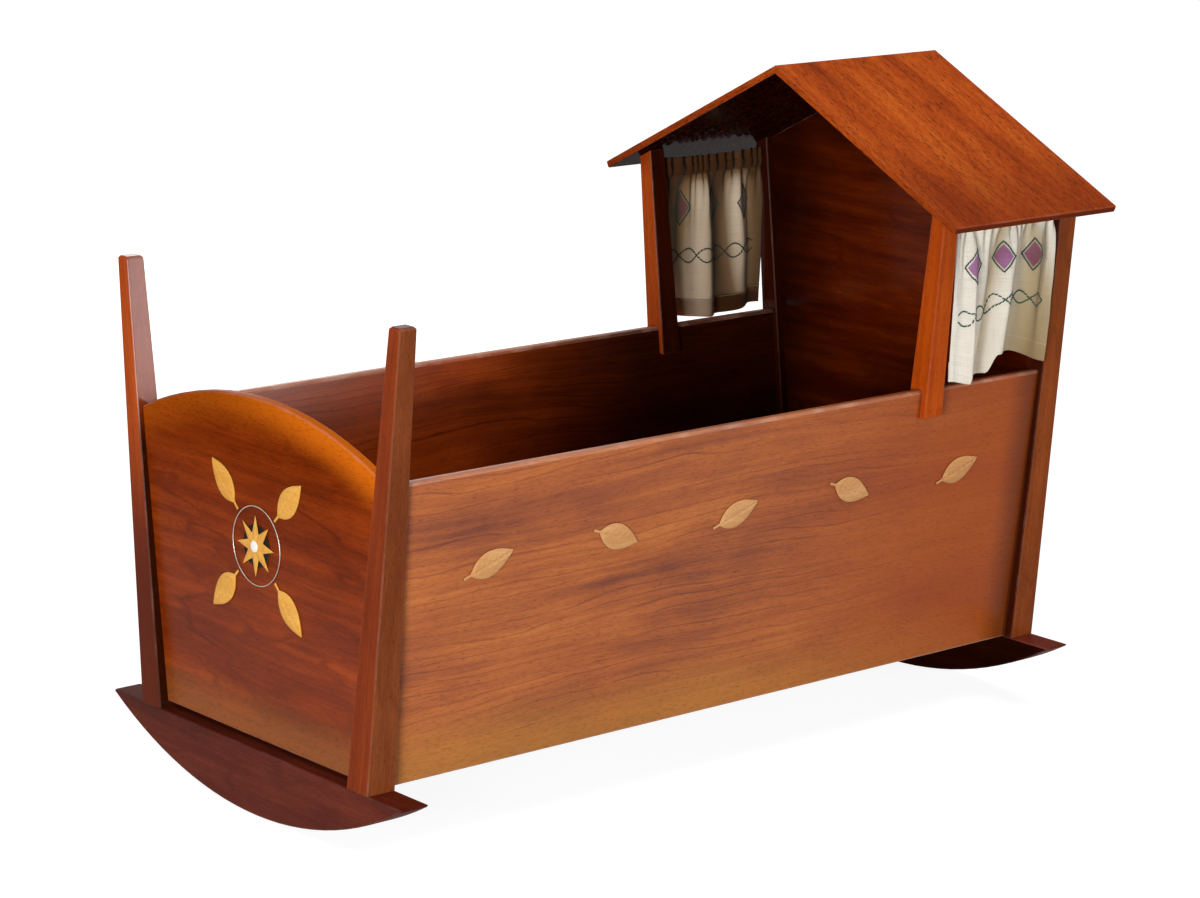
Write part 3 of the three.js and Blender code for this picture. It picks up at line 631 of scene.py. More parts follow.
def add_leaf(node, heading, outward, material):
    """A carved leaf in the place of a CAD leaf, whose tip is its furthest corner in the heading."""
    corners = [v.co.copy() for v in frame["nodes"][node].data.vertices]
    tip = max(corners, key=heading)
    tail = min(corners, key=heading)
    rough_forward = (tip - tail).normalized()
    ends = [c for c in corners if abs((c - tail).dot(rough_forward)) < STALK_HALF]
    stalk_end = sum(ends, Vector()) / len(ends)
    forward = tip - stalk_end
    forward = (forward - outward * forward.dot(outward)).normalized()
    seat = min(c.dot(outward) for c in corners)
    origin = stalk_end + forward * (STALK_LENGTH + LEAF_HALF)
    origin += outward * (seat - origin.dot(outward))
    mesh = leaf_mesh()
    bmesh.ops.transform(mesh, matrix=plane_basis(forward, outward, origin), verts=mesh.verts)
    leaf = made_object(f"{node}_carved", mesh, material)
    stand_for(leaf, node)


# The close-grained light timber of the applied ornament
PALE_LOOKS = {"figure": 0.5, "lines": 0.2, "pores": 0.25, "wear": 0.1, "polish": 0.38}


def add_side_leaves():
    """Five leaves in a row on each side panel, tips towards the head end."""
    for side, face in SIDES.items():
        outward = Vector((0, face, -SIDE_LEAN)).normalized()
        material = wood(f"{side}_leaf_wood", ALONG, PALE_TONES, (1.3, face * 2.1, 0), **PALE_LOOKS)
        for index in range(1, 6):
            add_leaf(f"{side}_side_leaf_{index}", lambda corner: corner.x, outward, material)


def bone_finish():
    """Polished bone with faint growth lines."""
    finish = Finish("bone", Coat_Weight=0.3, Coat_Roughness=0.1)
    growth = finish.noise(finish.mapped(finish.place(), scale=(1, 3, 1)), scale=420.0, detail=3.0)
    colour = finish.ramp(growth, [(0.3, (0.74, 0.7, 0.6)), (0.7, (0.88, 0.86, 0.8))])
    return finish.surface(Base_Color=colour, Roughness=0.22 + growth * 0.1)


def add_foot_ornament():
    """The star on its roundel, with four leaves round it."""
    low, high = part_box("star_roundel")
    middle = (low + high) / 2
    material = wood("foot_leaf_wood", ACROSS, GOLD_TONES, (0.7, 1.1, 0.4), **PALE_LOOKS)
    for index in range(1, 5):
        add_leaf(f"foot_leaf_{index}", lambda corner: (corner - middle).length, Vector(TO_FOOT), material)
    add_star()
    eased_board(
        "star_roundel", "dark_wood", 0.35 * MM, ACROSS, ROUNDEL_TONES, sharpest=60, figure=0.6,
        pores=0.2, wear=0.2, polish=0.25)
    add_dome("star_centre", bone_finish(), 0.5 * MM)


def add_dome(node, material, rise):
    """A low dome in the place of a CAD disc that faces the foot end."""
    low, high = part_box(node)
    radius = (high.y - low.y) / 2
    mesh = bmesh.new()
    bmesh.ops.create_uvsphere(mesh, u_segments=40, v_segments=20, radius=1)
    bmesh.ops.bisect_plane(
        mesh, geom=mesh.verts[:] + mesh.edges[:] + mesh.faces[:], plane_co=(0, 0, 0.0001),
        plane_no=UPWARD, clear_inner=True)
    bmesh.ops.contextual_create(mesh, geom=open_edges(mesh))
    bmesh.ops.recalc_face_normals(mesh, faces=mesh.faces)
    stretch = Matrix.Diagonal((radius, radius, high.x - low.x + rise, 1))
    bmesh.ops.transform(mesh, matrix=foot_facing_basis(low, high) @ stretch, verts=mesh.verts)
    shade(mesh, 50)
    stand_for(made_object(f"{node}_dome", mesh, material), node)


STAR_RAYS = 8
STAR_WAIST_SHARE = 13.5 / 31
STAR_HUB_RISE = 1.5
STAR_EDGE_RISE = 0.35


def add_star():
    """An eight-pointed star with a raised ridge along each ray."""
    low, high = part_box("star")
    radius = (high.y - low.y) / 2
    thickness = high.x - low.x
    mesh = bmesh.new()
    bmesh.ops.create_circle(mesh, segments=2 * STAR_RAYS, radius=1, cap_ends=True)
    hub = bmesh.ops.poke(mesh, faces=mesh.faces[:])["verts"][0]
    for vertex in mesh.verts:
        if vertex == hub:
            vertex.co = (0, 0, STAR_HUB_RISE * thickness)
            continue
        step = round(math.atan2(vertex.co.y, vertex.co.x) * STAR_RAYS / math.pi)
        reach = radius if step % 2 == 0 else radius * STAR_WAIST_SHARE
        angle = step * math.pi / STAR_RAYS
        vertex.co = (reach * math.cos(angle), reach * math.sin(angle), STAR_EDGE_RISE * thickness)
    close_back(mesh)
    bmesh.ops.recalc_face_normals(mesh, faces=mesh.faces)
    bmesh.ops.transform(mesh, matrix=foot_facing_basis(low, high), verts=mesh.verts)
    timber = wood("star_wood", UPWARD, GOLD_TONES, (0.4, 0.8, 1.6), **PALE_LOOKS)
    star = made_object("star_carved", mesh, timber)
    bevel = star.modifiers.new("eased_ridges", "BEVEL")
    bevel.width = 0.12 * MM
    bevel.segments = 2
    bevel.profile = 0.5
    bevel.limit_method = "ANGLE"
    bevel.angle_limit = math.radians(8)
    settle(star)
    stand_for(star, "star")


def steel_finish():
    """Drawn wire: fine scratches along it and a little dullness."""
    finish = Finish("drawn_wire", Metallic=1.0)
    scratch = finish.noise(finish.mapped(finish.place(), scale=(40, 900, 900)), detail=2.0)
    dull = finish.noise(finish.place(), scale=60.0, detail=2.0)
    colour = finish.ramp(dull, [(0.3, (0.33, 0.29, 0.24)), (0.7, (0.55, 0.5, 0.42))])
    return finish.surface(
        Base_Color=colour, Roughness=0.28 + dull * 0.2, Normal=finish.bump(scratch, 0.2, 0.05 * MM))


def dress_wires():
    """The curtains' wires and the drawn ring round the star."""
    steel = steel_finish()
    for side in SIDES:
        mesh = merged_node(f"{side}_curtain_wire")
        shade(mesh, 50)
        stand_for(made_object(f"{side}_wire", mesh, steel), f"{side}_curtain_wire")
    low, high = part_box("star_ring")
    wire_radius = (high.x - low.x) / 2
    ring_radius = (high.y - low.y) / 2 - wire_radius
    mesh = bmesh.new()
    bmesh.ops.create_circle(mesh, segments=12, radius=wire_radius, cap_ends=False)
    bmesh.ops.translate(mesh, vec=(0, ring_radius, 0), verts=mesh.verts)
    bmesh.ops.spin(
        mesh, geom=mesh.verts[:] + mesh.edges[:], cent=(0, 0, 0), axis=ALONG, angle=2 * math.pi,
        steps=96, use_merge=True, use_duplicate=False)
    bmesh.ops.recalc_face_normals(mesh, faces=mesh.faces)
    bmesh.ops.translate(mesh, vec=(low + high) / 2, verts=mesh.verts)
    shade(mesh, 60)
    stand_for(made_object("star_ring_drawn", mesh, steel), "star_ring")


# Curtains, in millimetres: heights above the floor, places as shares of a curtain's width
CASING_LOW = 544.5
CASING_HIGH = 556.5
HEADING_TOP = 565.5
HEADING_SAG = 1.8
HEM_HEIGHT = 384.0
HEM_TURN = 20.0
HEADING_TURN = 22.5
BEHIND_DROP = 1.5
LEAD_WIDTH = 7.0
LEAD_OVERLAP = 1.2
EDGE_DRAW = 5.0
EDGE_REACH = 2.4
CLOTH_THICKNESS = 0.6
LEAD_THICKNESS = 1.1
LAYER_GAP = 1.15
CASING_SLACK = 1.7
GATHER_COUNT = 13
GATHER_DEPTH = 2.7
GATHER_FADE = 22.0
CLOTH_COLUMNS = 150
LEAD_COLUMNS = 8
SECTION_ROWS = {
    "turn_up": 6, "hem_fold": 4, "body": 64, "casing": 10, "frill": 3, "top_fold": 4, "behind": 12,
}

# The hems' shapes: near, a dropped corner and a raised arch; far, a gentle wave that ends higher
NEAR_HEM_LIFT = 2.0
CORNER_DROP = 5.0
CORNER_TURN = 4.0
ARCH_APPROACH = 2.5
ARCH_RISE = 19.5
FAR_HEM_DROP = 6.0
FAR_HEM_WAVE = 3.2
FAR_HEM_END = 3.5

# Each fold runs down the cloth along its own line: its place at the heading, the middle and the hem, and
# its half width at the heading and the hem, as shares of the width; then how far it stands out at the
# heading and at the hem, in millimetres
FOLD_SHARES = {
    "far": (
        ((0.18, 0.18, 0.17), (0.05, 0.06), (4.5, 5.5)),
        ((0.39, 0.45, 0.48), (0.05, 0.09), (-9.0, -8.0)),
        ((0.51, 0.57, 0.60), (0.06, 0.08), (6.0, 6.5)),
        ((0.70, 0.80, 0.82), (0.05, 0.08), (-6.0, -5.0)),
        ((0.86, 0.92, 0.93), (0.04, 0.05), (5.0, 3.5)),
        ((1.02, 1.02, 1.03), (0.06, 0.07), (-7.0, -8.0)),
    ),
    "near": (
        ((0.18, 0.17, 0.155), (0.045, 0.04), (6.0, 9.0)),
        ((0.45, 0.38, 0.29), (0.06, 0.06), (-7.0, -6.0)),
        ((0.58, 0.52, 0.42), (0.06, 0.07), (9.0, 9.0)),
        ((0.69, 0.70, 0.74), (0.05, 0.20), (-6.0, -7.0)),
        ((0.82, 0.82, 0.80), (0.05, 0.06), (8.0, 0.0)),
        ((0.93, 0.93, 0.93), (0.04, 0.06), (-5.0, -3.0)),
        ((1.02, 1.02, 1.02), (0.06, 0.07), (7.5, 0.0)),
    ),
}

# Where shade is painted on the cloth, in the same way: places, half widths, and how much at the heading and
# the hem
PAINTED_SHADE_SHARES = {
    "far": (
        ((0.04, 0.09, 0.02), (0.20, 0.18), (1.0, 0.45)),
        ((0.54, 0.57, 0.66), (0.09, 0.14), (1.05, 0.9)),
        ((0.91, 0.99, 0.98), (0.06, 0.14), (0.8, 0.9)),
    ),
    "near": (
        ((0.47, 0.38, 0.30), (0.06, 0.05), (0.5, 0.2)),
        ((0.76, 0.86, 0.84), (0.08, 0.32), (0.4, 1.0)),
    ),
}
# How much of the painted shade each curtain's outside keeps.
OUTSIDE_SHADE_SHARE = {"near": 1.0, "far": 0.3}


def wire_line(side):
    """How far from the middle plane a curtain hangs plumb from its wire."""
    low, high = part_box(f"{side}_curtain_wire")
    return abs(low.y + high.y) / 2 / MM


HANG_LINES = {side: wire_line(side) for side in SIDES}


def hem_height(side, share):
    """The lower edge's height at a share of the curtain's width."""
    if side == "near":
        corner = CORNER_TURN * (1 - smooth_step(share, 0.0, 0.16))
        corner -= CORNER_DROP * (1 - smooth_step(share, 0.145, 0.165))
        arch = ARCH_APPROACH * smooth_step(share, 0.17, 0.34)
        arch += ARCH_RISE * smooth_step(share, 0.35, 0.44) * (1 - smooth_step(share, 0.58, 1.05)) ** 0.9
        return HEM_HEIGHT + NEAR_HEM_LIFT + corner + arch
    wave = FAR_HEM_WAVE * math.cos(2 * math.pi * (0.9 * share + 0.02))
    return HEM_HEIGHT - FAR_HEM_DROP + wave + FAR_HEM_END * smooth_step(share, 0.75, 1.0)


def heading_height(side, share):
    """The upper edge's height: it sags a little between its ends and ripples over the gathers."""
    turn = 1.1 if side == "near" else 2.9
    ripple = 0.7 * math.sin(2 * math.pi * (9.3 * share + turn)) * math.sin(math.pi * share)
    return HEADING_TOP - HEADING_SAG * math.sin(math.pi * share) + ripple


def gather_wave(side, share):
    """The gathers' wave along the heading, from -1 to 1, uneven as hand-drawn gathers are."""
    turn = 0.0 if side == "near" else 0.37
    wander = 0.35 * math.sin(2 * math.pi * (1.7 * share + turn)) + 0.2 * math.sin(2 * math.pi * 3.1 * share)
    return math.sin(2 * math.pi * (GATHER_COUNT * share + wander))


def banded(bands, share, fallen):
    """The sum of soft bands at a share of the width, each on its own line down the cloth."""
    total = 0.0
    for (high, middle, low), widths, amounts in bands:
        bend = 4 * fallen * (1 - fallen) * (middle - (high + low) / 2)
        centre = high + (low - high) * fallen + bend
        width = widths[0] + (widths[1] - widths[0]) * fallen
        amount = amounts[0] + (amounts[1] - amounts[0]) * fallen
        total += amount * math.exp(-((share - centre) / width) ** 2)
    return total


def share_fallen(z):
    """0 at the casing and above, 1 at the hem."""
    return min(1.0, max(0.0, (CASING_LOW - z) / (CASING_LOW - HEM_HEIGHT)))


def fold_depth(side, share, z):
    """How far the cloth stands out of its hanging plane, towards the outside of the cradle."""
    drop = max(0.0, CASING_LOW - z)
    fallen = share_fallen(z)
    gathers = GATHER_DEPTH * math.exp(-drop / GATHER_FADE) * gather_wave(side, share)
    halves = math.sin(2 * math.pi * (0.5 * GATHER_COUNT * share + 0.3 * math.sin(5 * share)))
    merging = 1.7 * math.exp(-drop / 45.0) * (1 - math.exp(-drop / 9.0)) * halves
    grown = 1 - math.exp(-drop / 14.0)
    folds = grown * banded(FOLD_SHARES[side], share, fallen)
    if side == "near":
        folds -= 3.0 * smooth_step(fallen, 0.45, 0.92) * (1 - smooth_step(share, 0.0, 0.22))
    crease = noise.noise(Vector((share * 9, z * 0.035, SIDES[side] * 3.7)))
    return gathers + merging + folds + grown * 0.9 * crease


def fold_slope(side, share, z, width, nearby):
    """How steeply the cloth turns out of its hanging plane, measured nearby on each side."""
    rise = fold_depth(side, share + nearby, z) - fold_depth(side, share - nearby, z)
    return rise / (2 * nearby * width)


def painted_fold_shade(side, share, z, width):
    """How much shade is painted on the cloth: where its folds turn away towards the head, along its bands,
    and on the far curtain's heading and hem.
    """
    slope = -SIDES[side] * fold_slope(side, share, z, width, 0.012)
    tone = 0.35 * smooth_step(-slope, 0.0, 0.9) + banded(PAINTED_SHADE_SHARES[side], share, share_fallen(z))
    if side == "far":
        tone += 0.9 * math.exp(-max(0.0, CASING_LOW - z) / 8.0)
        hem_line = HEM_HEIGHT - FAR_HEM_DROP + HEM_TURN
        hem = 1 - smooth_step(z, hem_line - 3, hem_line)
        tone += hem * (0.2 + 0.4 * smooth_step(share, 0.55, 0.75))
    return min(1.0, tone)


def casing_swell(z):
    """0 at the casing's two seams and beyond, 1 at the wire between them."""
    if z <= CASING_LOW or z >= CASING_HIGH:
        return 0.0
    return math.sin(math.pi * (z - CASING_LOW) / (CASING_HIGH - CASING_LOW)) ** 0.7


def section_spans():
    """Where along the cloth each section of its path starts, and the length of cloth that it takes."""
    lengths = {
        "turn_up": HEM_TURN, "hem_fold": 0.0, "body": CASING_LOW - HEM_HEIGHT,
        "casing": CASING_HIGH - CASING_LOW, "frill": HEADING_TOP - CASING_HIGH,
        "top_fold": 0.0, "behind": HEADING_TURN,
    }
    starts = accumulate(lengths.values(), initial=-HEM_TURN)
    return dict(zip(lengths, zip(starts, lengths.values())))


SPANS = section_spans()


def cloth_rows():
    """The path of the cloth: from its turned-up edge round the hem, up the front and over the heading."""
    rows = [(section, i / count) for section, count in SECTION_ROWS.items() for i in range(count)]
    return rows + [("behind", 1.0)]


def cloth_height(row):
    """How far along the cloth a row lies, from the hem's lower edge, in millimetres."""
    section, step = row
    start, length = SPANS[section]
    return start + length * step


def cloth_point(side, share, row, start, width):
    """A point of the cloth's middle surface, in metres in the part's frame."""
    section, step = row
    half = LAYER_GAP / 2
    hem = hem_height(side, share) + half
    top = heading_height(side, share) - half
    turn = math.pi * step
    z, layer = {
        "turn_up": (hem + HEM_TURN * (1 - step), -half),
        "hem_fold": (hem - half * math.sin(turn), -half * math.cos(turn)),
        "body": (hem + (CASING_LOW - hem) * step, half),
        "casing": (CASING_LOW + (CASING_HIGH - CASING_LOW) * step, half),
        "frill": (CASING_HIGH + (top - CASING_HIGH) * step, half),
        "top_fold": (top + half * math.sin(turn), half * math.cos(turn)),
        "behind": (top - (top - CASING_LOW + BEHIND_DROP) * step, -half),
    }[section]
    swell = casing_swell(z)
    if swell:
        lift = 0.5 + 0.5 * gather_wave(side, share) * math.copysign(1, layer)
        bulge = CASING_SLACK + GATHER_DEPTH * lift
        layer = layer * (1 - swell) + math.copysign(bulge, layer) * swell
    depth = fold_depth(side, share, z) * (1 - swell)
    slope = fold_slope(side, share, z, width, 0.004) * (1 - swell)
    steep = math.hypot(1, slope)
    x = start + share * (width - EDGE_DRAW * share_fallen(z)) - layer * slope / steep
    out = HANG_LINES[side] + depth + layer / steep
    return Vector((x, SIDES[side] * out, z)) * MM


def curtain_reach(side):
    """The curtain's start and width in millimetres, from its leading hem to the head post."""
    lead_low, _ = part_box(f"{side}_curtain_leading_hem")
    _, cloth_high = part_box(f"{side}_curtain")
    start = lead_low.x / MM + 0.8
    return start, cloth_high.x / MM - start + EDGE_REACH


def flat_width(side):
    """The length of the cloth across its folds, at the height where it is greatest, in millimetres."""
    start, width = curtain_reach(side)
    steps = 400
    longest = 0.0
    for rise in (0.1, 0.3, 0.5, 0.7, 0.85, 0.95):
        points = [cloth_point(side, i / steps, ("body", rise), start, width) for i in range(steps + 1)]
        longest = max(longest, sum((b - a).length for a, b in zip(points, points[1:])) / MM)
    return longest


FLAT_WIDTHS = {side: flat_width(side) for side in SIDES}


def cloth_strip(side, first_share, last_share, columns):
    """A stretch of the curtain between two shares of its width, as a bmesh with a map in metres."""
    start, width = curtain_reach(side)
    flat = FLAT_WIDTHS[side]
    rows = cloth_rows()
    mesh = bmesh.new()
    bmesh.ops.create_grid(mesh, x_segments=columns, y_segments=len(rows) - 1, size=1)
    cloth_map = mesh.loops.layers.uv.new("cloth")
    # How much shade is painted at each point of the cloth.
    toned = mesh.verts.layers.float.new("toned")
    places = {}
    for vertex in mesh.verts:
        column = (vertex.co.x + 1) / 2
        row = rows[round((vertex.co.y + 1) / 2 * (len(rows) - 1))]
        share = first_share + (last_share - first_share) * column
        places[vertex] = (share * flat * MM, cloth_height(row) * MM)
        vertex.co = cloth_point(side, share, row, start, width)
        vertex[toned] = painted_fold_shade(side, share, vertex.co.z / MM, width)
    for face in mesh.faces:
        for loop in face.loops:
            loop[cloth_map].uv = places[loop.vert]
    bmesh.ops.recalc_face_normals(mesh, faces=mesh.faces)
    shade(mesh, 120)
    return mesh


def thicken(cloth, thickness):
    """Gives a cloth its thickness, half on each side."""
    solid = cloth.modifiers.new("thickness", "SOLIDIFY")
    solid.thickness = thickness * MM
    solid.offset = 0
    solid.use_rim = True
    settle(cloth)


# The pattern on the flat cloth, in millimetres
LOZENGE_START = 6.0
LOZENGE_PITCH = 58.0
LOZENGE_HEIGHT = 122.0
LOZENGE_HALF_WIDTH = 12.0
LOZENGE_HALF_HEIGHT = 16.0
CHAIN_HEIGHT = 68.0
CHAIN_SWING = 8.0
LOZENGE_BORDER = 2.6
STITCH_LENGTH = 3.6
STITCH_HALF = (2.5, 0.9, 0.6)
STITCH_TWIST = math.radians(14)
SEAM_INSET = 1.5
SEAM_STITCH = 2.6
THREAD_PITCH = 0.62
THREAD_SHADES = ((0.2, 0.8), (0.5, 1.0), (0.8, 1.1))

# Each curtain's clean colour, what its painted shade keeps of it, and how much light that shade keeps back.
# The far curtain's warmer clean colour is painted shade as well.
CLOTH_TINTS = {
    "near": ((0.95, 0.9, 0.8), (0.33, 0.23, 0.11), 0.0),
    "far": ((0.94, 0.8, 0.61), (0.08, 0.034, 0.011), 0.5),
}


def lozenge_reach(u, v):
    """0 at the middle of the nearest lozenge, 1 on its border."""
    beside = abs((u - LOZENGE_START * MM) % (LOZENGE_PITCH * MM) - LOZENGE_PITCH / 2 * MM)
    above = abs(v - LOZENGE_HEIGHT * MM)
    return beside / (LOZENGE_HALF_WIDTH * MM) + above / (LOZENGE_HALF_HEIGHT * MM)


def seam_distance(finish, v):
    """How far a place on the cloth lies from the nearest seam: the hem's or one of the casing's two."""
    hem_seam = abs(abs(v) - (HEM_TURN - SEAM_INSET) * MM)
    casing_seam = abs(v - SPANS["casing"][0] * MM)
    frill_seam = abs(v - SPANS["frill"][0] * MM)
    return finish.maths("MINIMUM", finish.maths("MINIMUM", hem_seam, casing_seam), frill_seam)


def linen(name, tint, toned, shut, glow_share):
    """Undyed linen with slubs, mauve lozenges laid on in a row, and seams along the hem and the casing.

    tint is the clean cloth's own colour, and the next argument the colour of the shade painted over it;
    glow_share is how much light passes through the clean cloth, and shut the share of it that the painted
    shade keeps back."""
    finish = Finish(name, Sheen_Weight=0.1, Specular_IOR_Level=0.1)
    place = finish.node("ShaderNodeUVMap", {"uv_map": "cloth"})
    u, v = finish.dot(place, ALONG), finish.dot(place, ACROSS)
    weft, warp = [finish.maths("SINE", way * (2 * math.pi / (THREAD_PITCH * MM))) for way in (v, u)]
    slub = finish.noise(finish.mapped(place, scale=(26, 1500, 1)), detail=2.0)
    warp_slub = finish.noise(finish.mapped(place, scale=(1500, 26, 1)), detail=2.0)
    haze = finish.noise(place, scale=24.0, detail=3.0)
    tone = 0.5 + (slub - 0.5) * 0.9 + (warp_slub - 0.5) * 0.5 + (haze - 0.5) * 0.5
    shades = [(stop, tuple(part * c for c in tint)) for stop, part in THREAD_SHADES]
    reach = lozenge_reach(u, v)
    patch = 1 - finish.ease(reach, 0.97, 1.0)
    silk = finish.ramp(tone, [(0.25, (0.33, 0.12, 0.29)), (0.75, (0.5, 0.24, 0.46))])
    colour = finish.mix(patch, finish.ramp(tone, shades), silk)
    # Painted shade over the folds, the bands and the far heading and hem, which also lets less light
    # through.
    shade_amount = finish.attribute("toned")
    shade_ramp = [(0.0, (1, 1, 1)), (0.5, tuple(math.sqrt(c) for c in toned)), (1.0, toned)]
    colour = finish.mix(1.0, colour, finish.ramp(shade_amount, shade_ramp), "MULTIPLY")
    seam = seam_distance(finish, v)
    dash = finish.ease(abs((u % (SEAM_STITCH * MM)) - SEAM_STITCH / 2 * MM), 0.25 * MM, 0.5 * MM)
    thread = (1 - finish.ease(seam, 0.2 * MM, 0.4 * MM)) * dash
    colour = finish.mix(thread * 0.6, colour, (0.8, 0.76, 0.66))
    pucker = 1 - finish.ease(seam, 0.3 * MM, 1.6 * MM)
    edge = finish.ease(reach, 0.9, 1.0) * patch
    height = (weft + warp) * 0.14 + slub * 0.9 + thread * 0.7 - pucker * 0.6 + patch * 0.8 - edge * 0.4
    finish.surface(
        Base_Color=colour, Roughness=0.82 + (haze - 0.5) * 0.15 - patch * 0.25,
        Normal=finish.bump(height, 0.55, 0.22 * MM))
    glow = finish.node("ShaderNodeBsdfTranslucent", None, {"Color": (0.86, 0.77, 0.62)})
    cloth = Value(finish, finish.shader.outputs[0])
    passed = (1 - shade_amount * shut) * glow_share if shut else glow_share
    blend = finish.node("ShaderNodeMixShader", None, {0: passed, 1: cloth, 2: glow})
    finish.feed(finish.tree.nodes["Material Output"].inputs["Surface"], blend)
    return finish.material


def stitch_place(side, face, here, ahead, flat):
    """Lays a stitch on one face of the hung cloth, from a point of the flat cloth to the next."""
    start, width = curtain_reach(side)
    body = SPANS["body"][1]

    def hung(u, v):
        return cloth_point(side, u / flat, ("body", v / body), start, width)

    (u, v), (ahead_u, ahead_v) = here, ahead
    forward = (hung(*ahead) - hung(*here)).normalized()
    sideways = hung(u - (ahead_v - v), v + (ahead_u - u)) - hung(*here)
    outward = forward.cross(sideways).normalized() * (-SIDES[side] * face)
    seat = hung((u + ahead_u) / 2, (v + ahead_v) / 2) + outward * (CLOTH_THICKNESS / 2 + 0.25) * MM
    return plane_basis(forward, outward, seat)


def stitch_lines(flat):
    """Two waves that cross, under each lozenge and between them, and a line round each lozenge."""
    inset = LEAD_WIDTH + 3
    steps = int((flat - 2 * inset) / STITCH_LENGTH)
    for swing in (CHAIN_SWING, -CHAIN_SWING):
        points = []
        for i in range(steps + 1):
            u = inset + (flat - 2 * inset) * i / steps
            turn = 2 * math.pi * (u - LOZENGE_START) / LOZENGE_PITCH
            points.append((u, CHAIN_HEIGHT + swing * math.sin(turn)))
        yield points
    half_width = LOZENGE_HALF_WIDTH + LOZENGE_BORDER
    half_height = LOZENGE_HALF_HEIGHT + LOZENGE_BORDER * LOZENGE_HALF_HEIGHT / LOZENGE_HALF_WIDTH
    steps = round(math.hypot(half_width, half_height) / STITCH_LENGTH)
    middle = LOZENGE_START + LOZENGE_PITCH / 2
    while middle + half_width < flat - LEAD_WIDTH:
        corners = [(half_width, 0), (0, half_height), (-half_width, 0), (0, -half_height), (half_width, 0)]
        points = []
        for (u, v), (next_u, next_v) in zip(corners, corners[1:]):
            for i in range(steps):
                part = i / steps
                points.append((middle + u + (next_u - u) * part, LOZENGE_HEIGHT + v + (next_v - v) * part))
        yield points + points[:1]
        middle += LOZENGE_PITCH


def thread_finish(name):
    """Twisted green thread."""
    finish = Finish(name, Sheen_Weight=0.2, Specular_IOR_Level=0.3)
    twine = finish.noise(finish.place(), scale=900.0, detail=2.0)
    colour = finish.ramp(twine, [(0.3, (0.012, 0.035, 0.022)), (0.7, (0.035, 0.085, 0.05))])
    return finish.surface(
        Base_Color=colour, Roughness=0.55 + twine * 0.2, Normal=finish.bump(twine, 0.4, 0.1 * MM))


def add_stitching(side):
    """Lines of green thread worked through the cloth, one stitch lapping the next."""
    flat = FLAT_WIDTHS[side]
    twist = Matrix.Rotation(STITCH_TWIST, 4, "Z")
    shape = Matrix.Diagonal((*[s * MM for s in STITCH_HALF], 1))
    mesh = bmesh.new()
    bmesh.ops.create_uvsphere(mesh, u_segments=8, v_segments=5, radius=1, matrix=twist @ shape)
    bmesh.ops.recalc_face_normals(mesh, faces=mesh.faces)
    shade(mesh, 80)
    stitch = bpy.data.meshes.new("stitch")
    mesh.to_mesh(stitch)
    mesh.clear()
    for points in stitch_lines(flat):
        for here, ahead in zip(points, points[1:]):
            for face in (1, -1):
                place = stitch_place(side, face, here, ahead, flat)
                stitch.transform(place)
                mesh.from_mesh(stitch)
                stitch.transform(place.inverted())
    return made_object(f"{side}_curtain_stitching", mesh, thread_finish(f"{side}_thread"))


def keep_less_shade_outside(cloth, side):
    """The outside of the cloth keeps less of the painted shade than the inside."""
    toned = cloth.data.attributes["toned"].data
    for vertex, tone in zip(cloth.data.vertices, toned):
        if vertex.normal.y * SIDES[side] > 0:
            tone.value *= OUTSIDE_SHADE_SHARE[side]


def add_cloth(side, part, shares, columns, thickness, glow_share):
    """One sewn piece of a curtain, between two shares of its width."""
    material = linen(f"{side}_{part}_linen", *CLOTH_TINTS[side], glow_share)
    cloth = made_object(f"{side}_curtain_{part}", cloth_strip(side, *shares, columns), material)
    thicken(cloth, thickness)
    keep_less_shade_outside(cloth, side)
    return cloth


def add_curtain(side):
    """A gathered curtain reaching to the head post, whose leading hem rides on the body that draws it back.
    """
    start, width = curtain_reach(side)
    _, cloth_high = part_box(f"{side}_curtain")
    lead_end = (start + LEAD_WIDTH) * MM
    joint = next(j for j in frame["joints"] if j["name"] == f"{side}_curtain_draw")
    travel = max(joint["range_m"])
    draw = {
        "joint": joint["name"], "axis": (1, 0, 0), "anchor": (cloth_high.x, 0, 0),
        "keep": 1 - travel / (cloth_high.x - lead_end),
    }
    cloth_from = (LEAD_WIDTH - LEAD_OVERLAP) / width
    cloth = add_cloth(side, "cloth", (cloth_from, 1.0), CLOTH_COLUMNS, CLOTH_THICKNESS, 0.2)
    lead = add_cloth(side, "lead", (0.0, LEAD_WIDTH / width), LEAD_COLUMNS, LEAD_THICKNESS, 0.1)
    stitching = add_stitching(side)
    for piece in (cloth, stitching):
        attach(piece, CRADLE)
        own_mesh(piece)
    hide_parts(f"{side}_curtain")
    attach(lead, f"{side}_curtain_edge")
    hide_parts(f"{side}_curtain_leading_hem")
    length = sum(span for _, span in SPANS.values()) * MM


def photo_camera():
    """The photograph's own view: the camera looks along its local -z with y up."""
    lens = bpy.data.cameras.new("photo_camera")
    lens.lens = CAMERA_LENS
    lens.sensor_width = 36
    lens.sensor_fit = "HORIZONTAL"
    lens.clip_end = 100
    camera = bpy.data.objects.new("photo_camera", lens)
    camera.matrix_world = (
        Matrix.Translation(CAMERA_PLACE) @ Matrix.Rotation(-CAMERA_YAW, 4, "Z")
        @ Matrix.Rotation(math.pi / 2 + CAMERA_PITCH, 4, "X") @ Matrix.Rotation(CAMERA_ROLL, 4, "Z"))
    bpy.context.scene.collection.objects.link(camera)
    bpy.context.scene.camera = camera


def seen_plainly(finish):
    """1 for rays that see the surface straight, in gloss or through glass, else 0."""
    path = finish.node("ShaderNodeLightPath")
    rays = {output.name: Value(finish, output) for output in path.socket.node.outputs}
    seen = finish.maths("MAXIMUM", rays["Is Camera Ray"], rays["Is Glossy Ray"])
    return finish.maths("MAXIMUM", seen, rays["Is Transmission Ray"])


FLOOR_HALF = 30


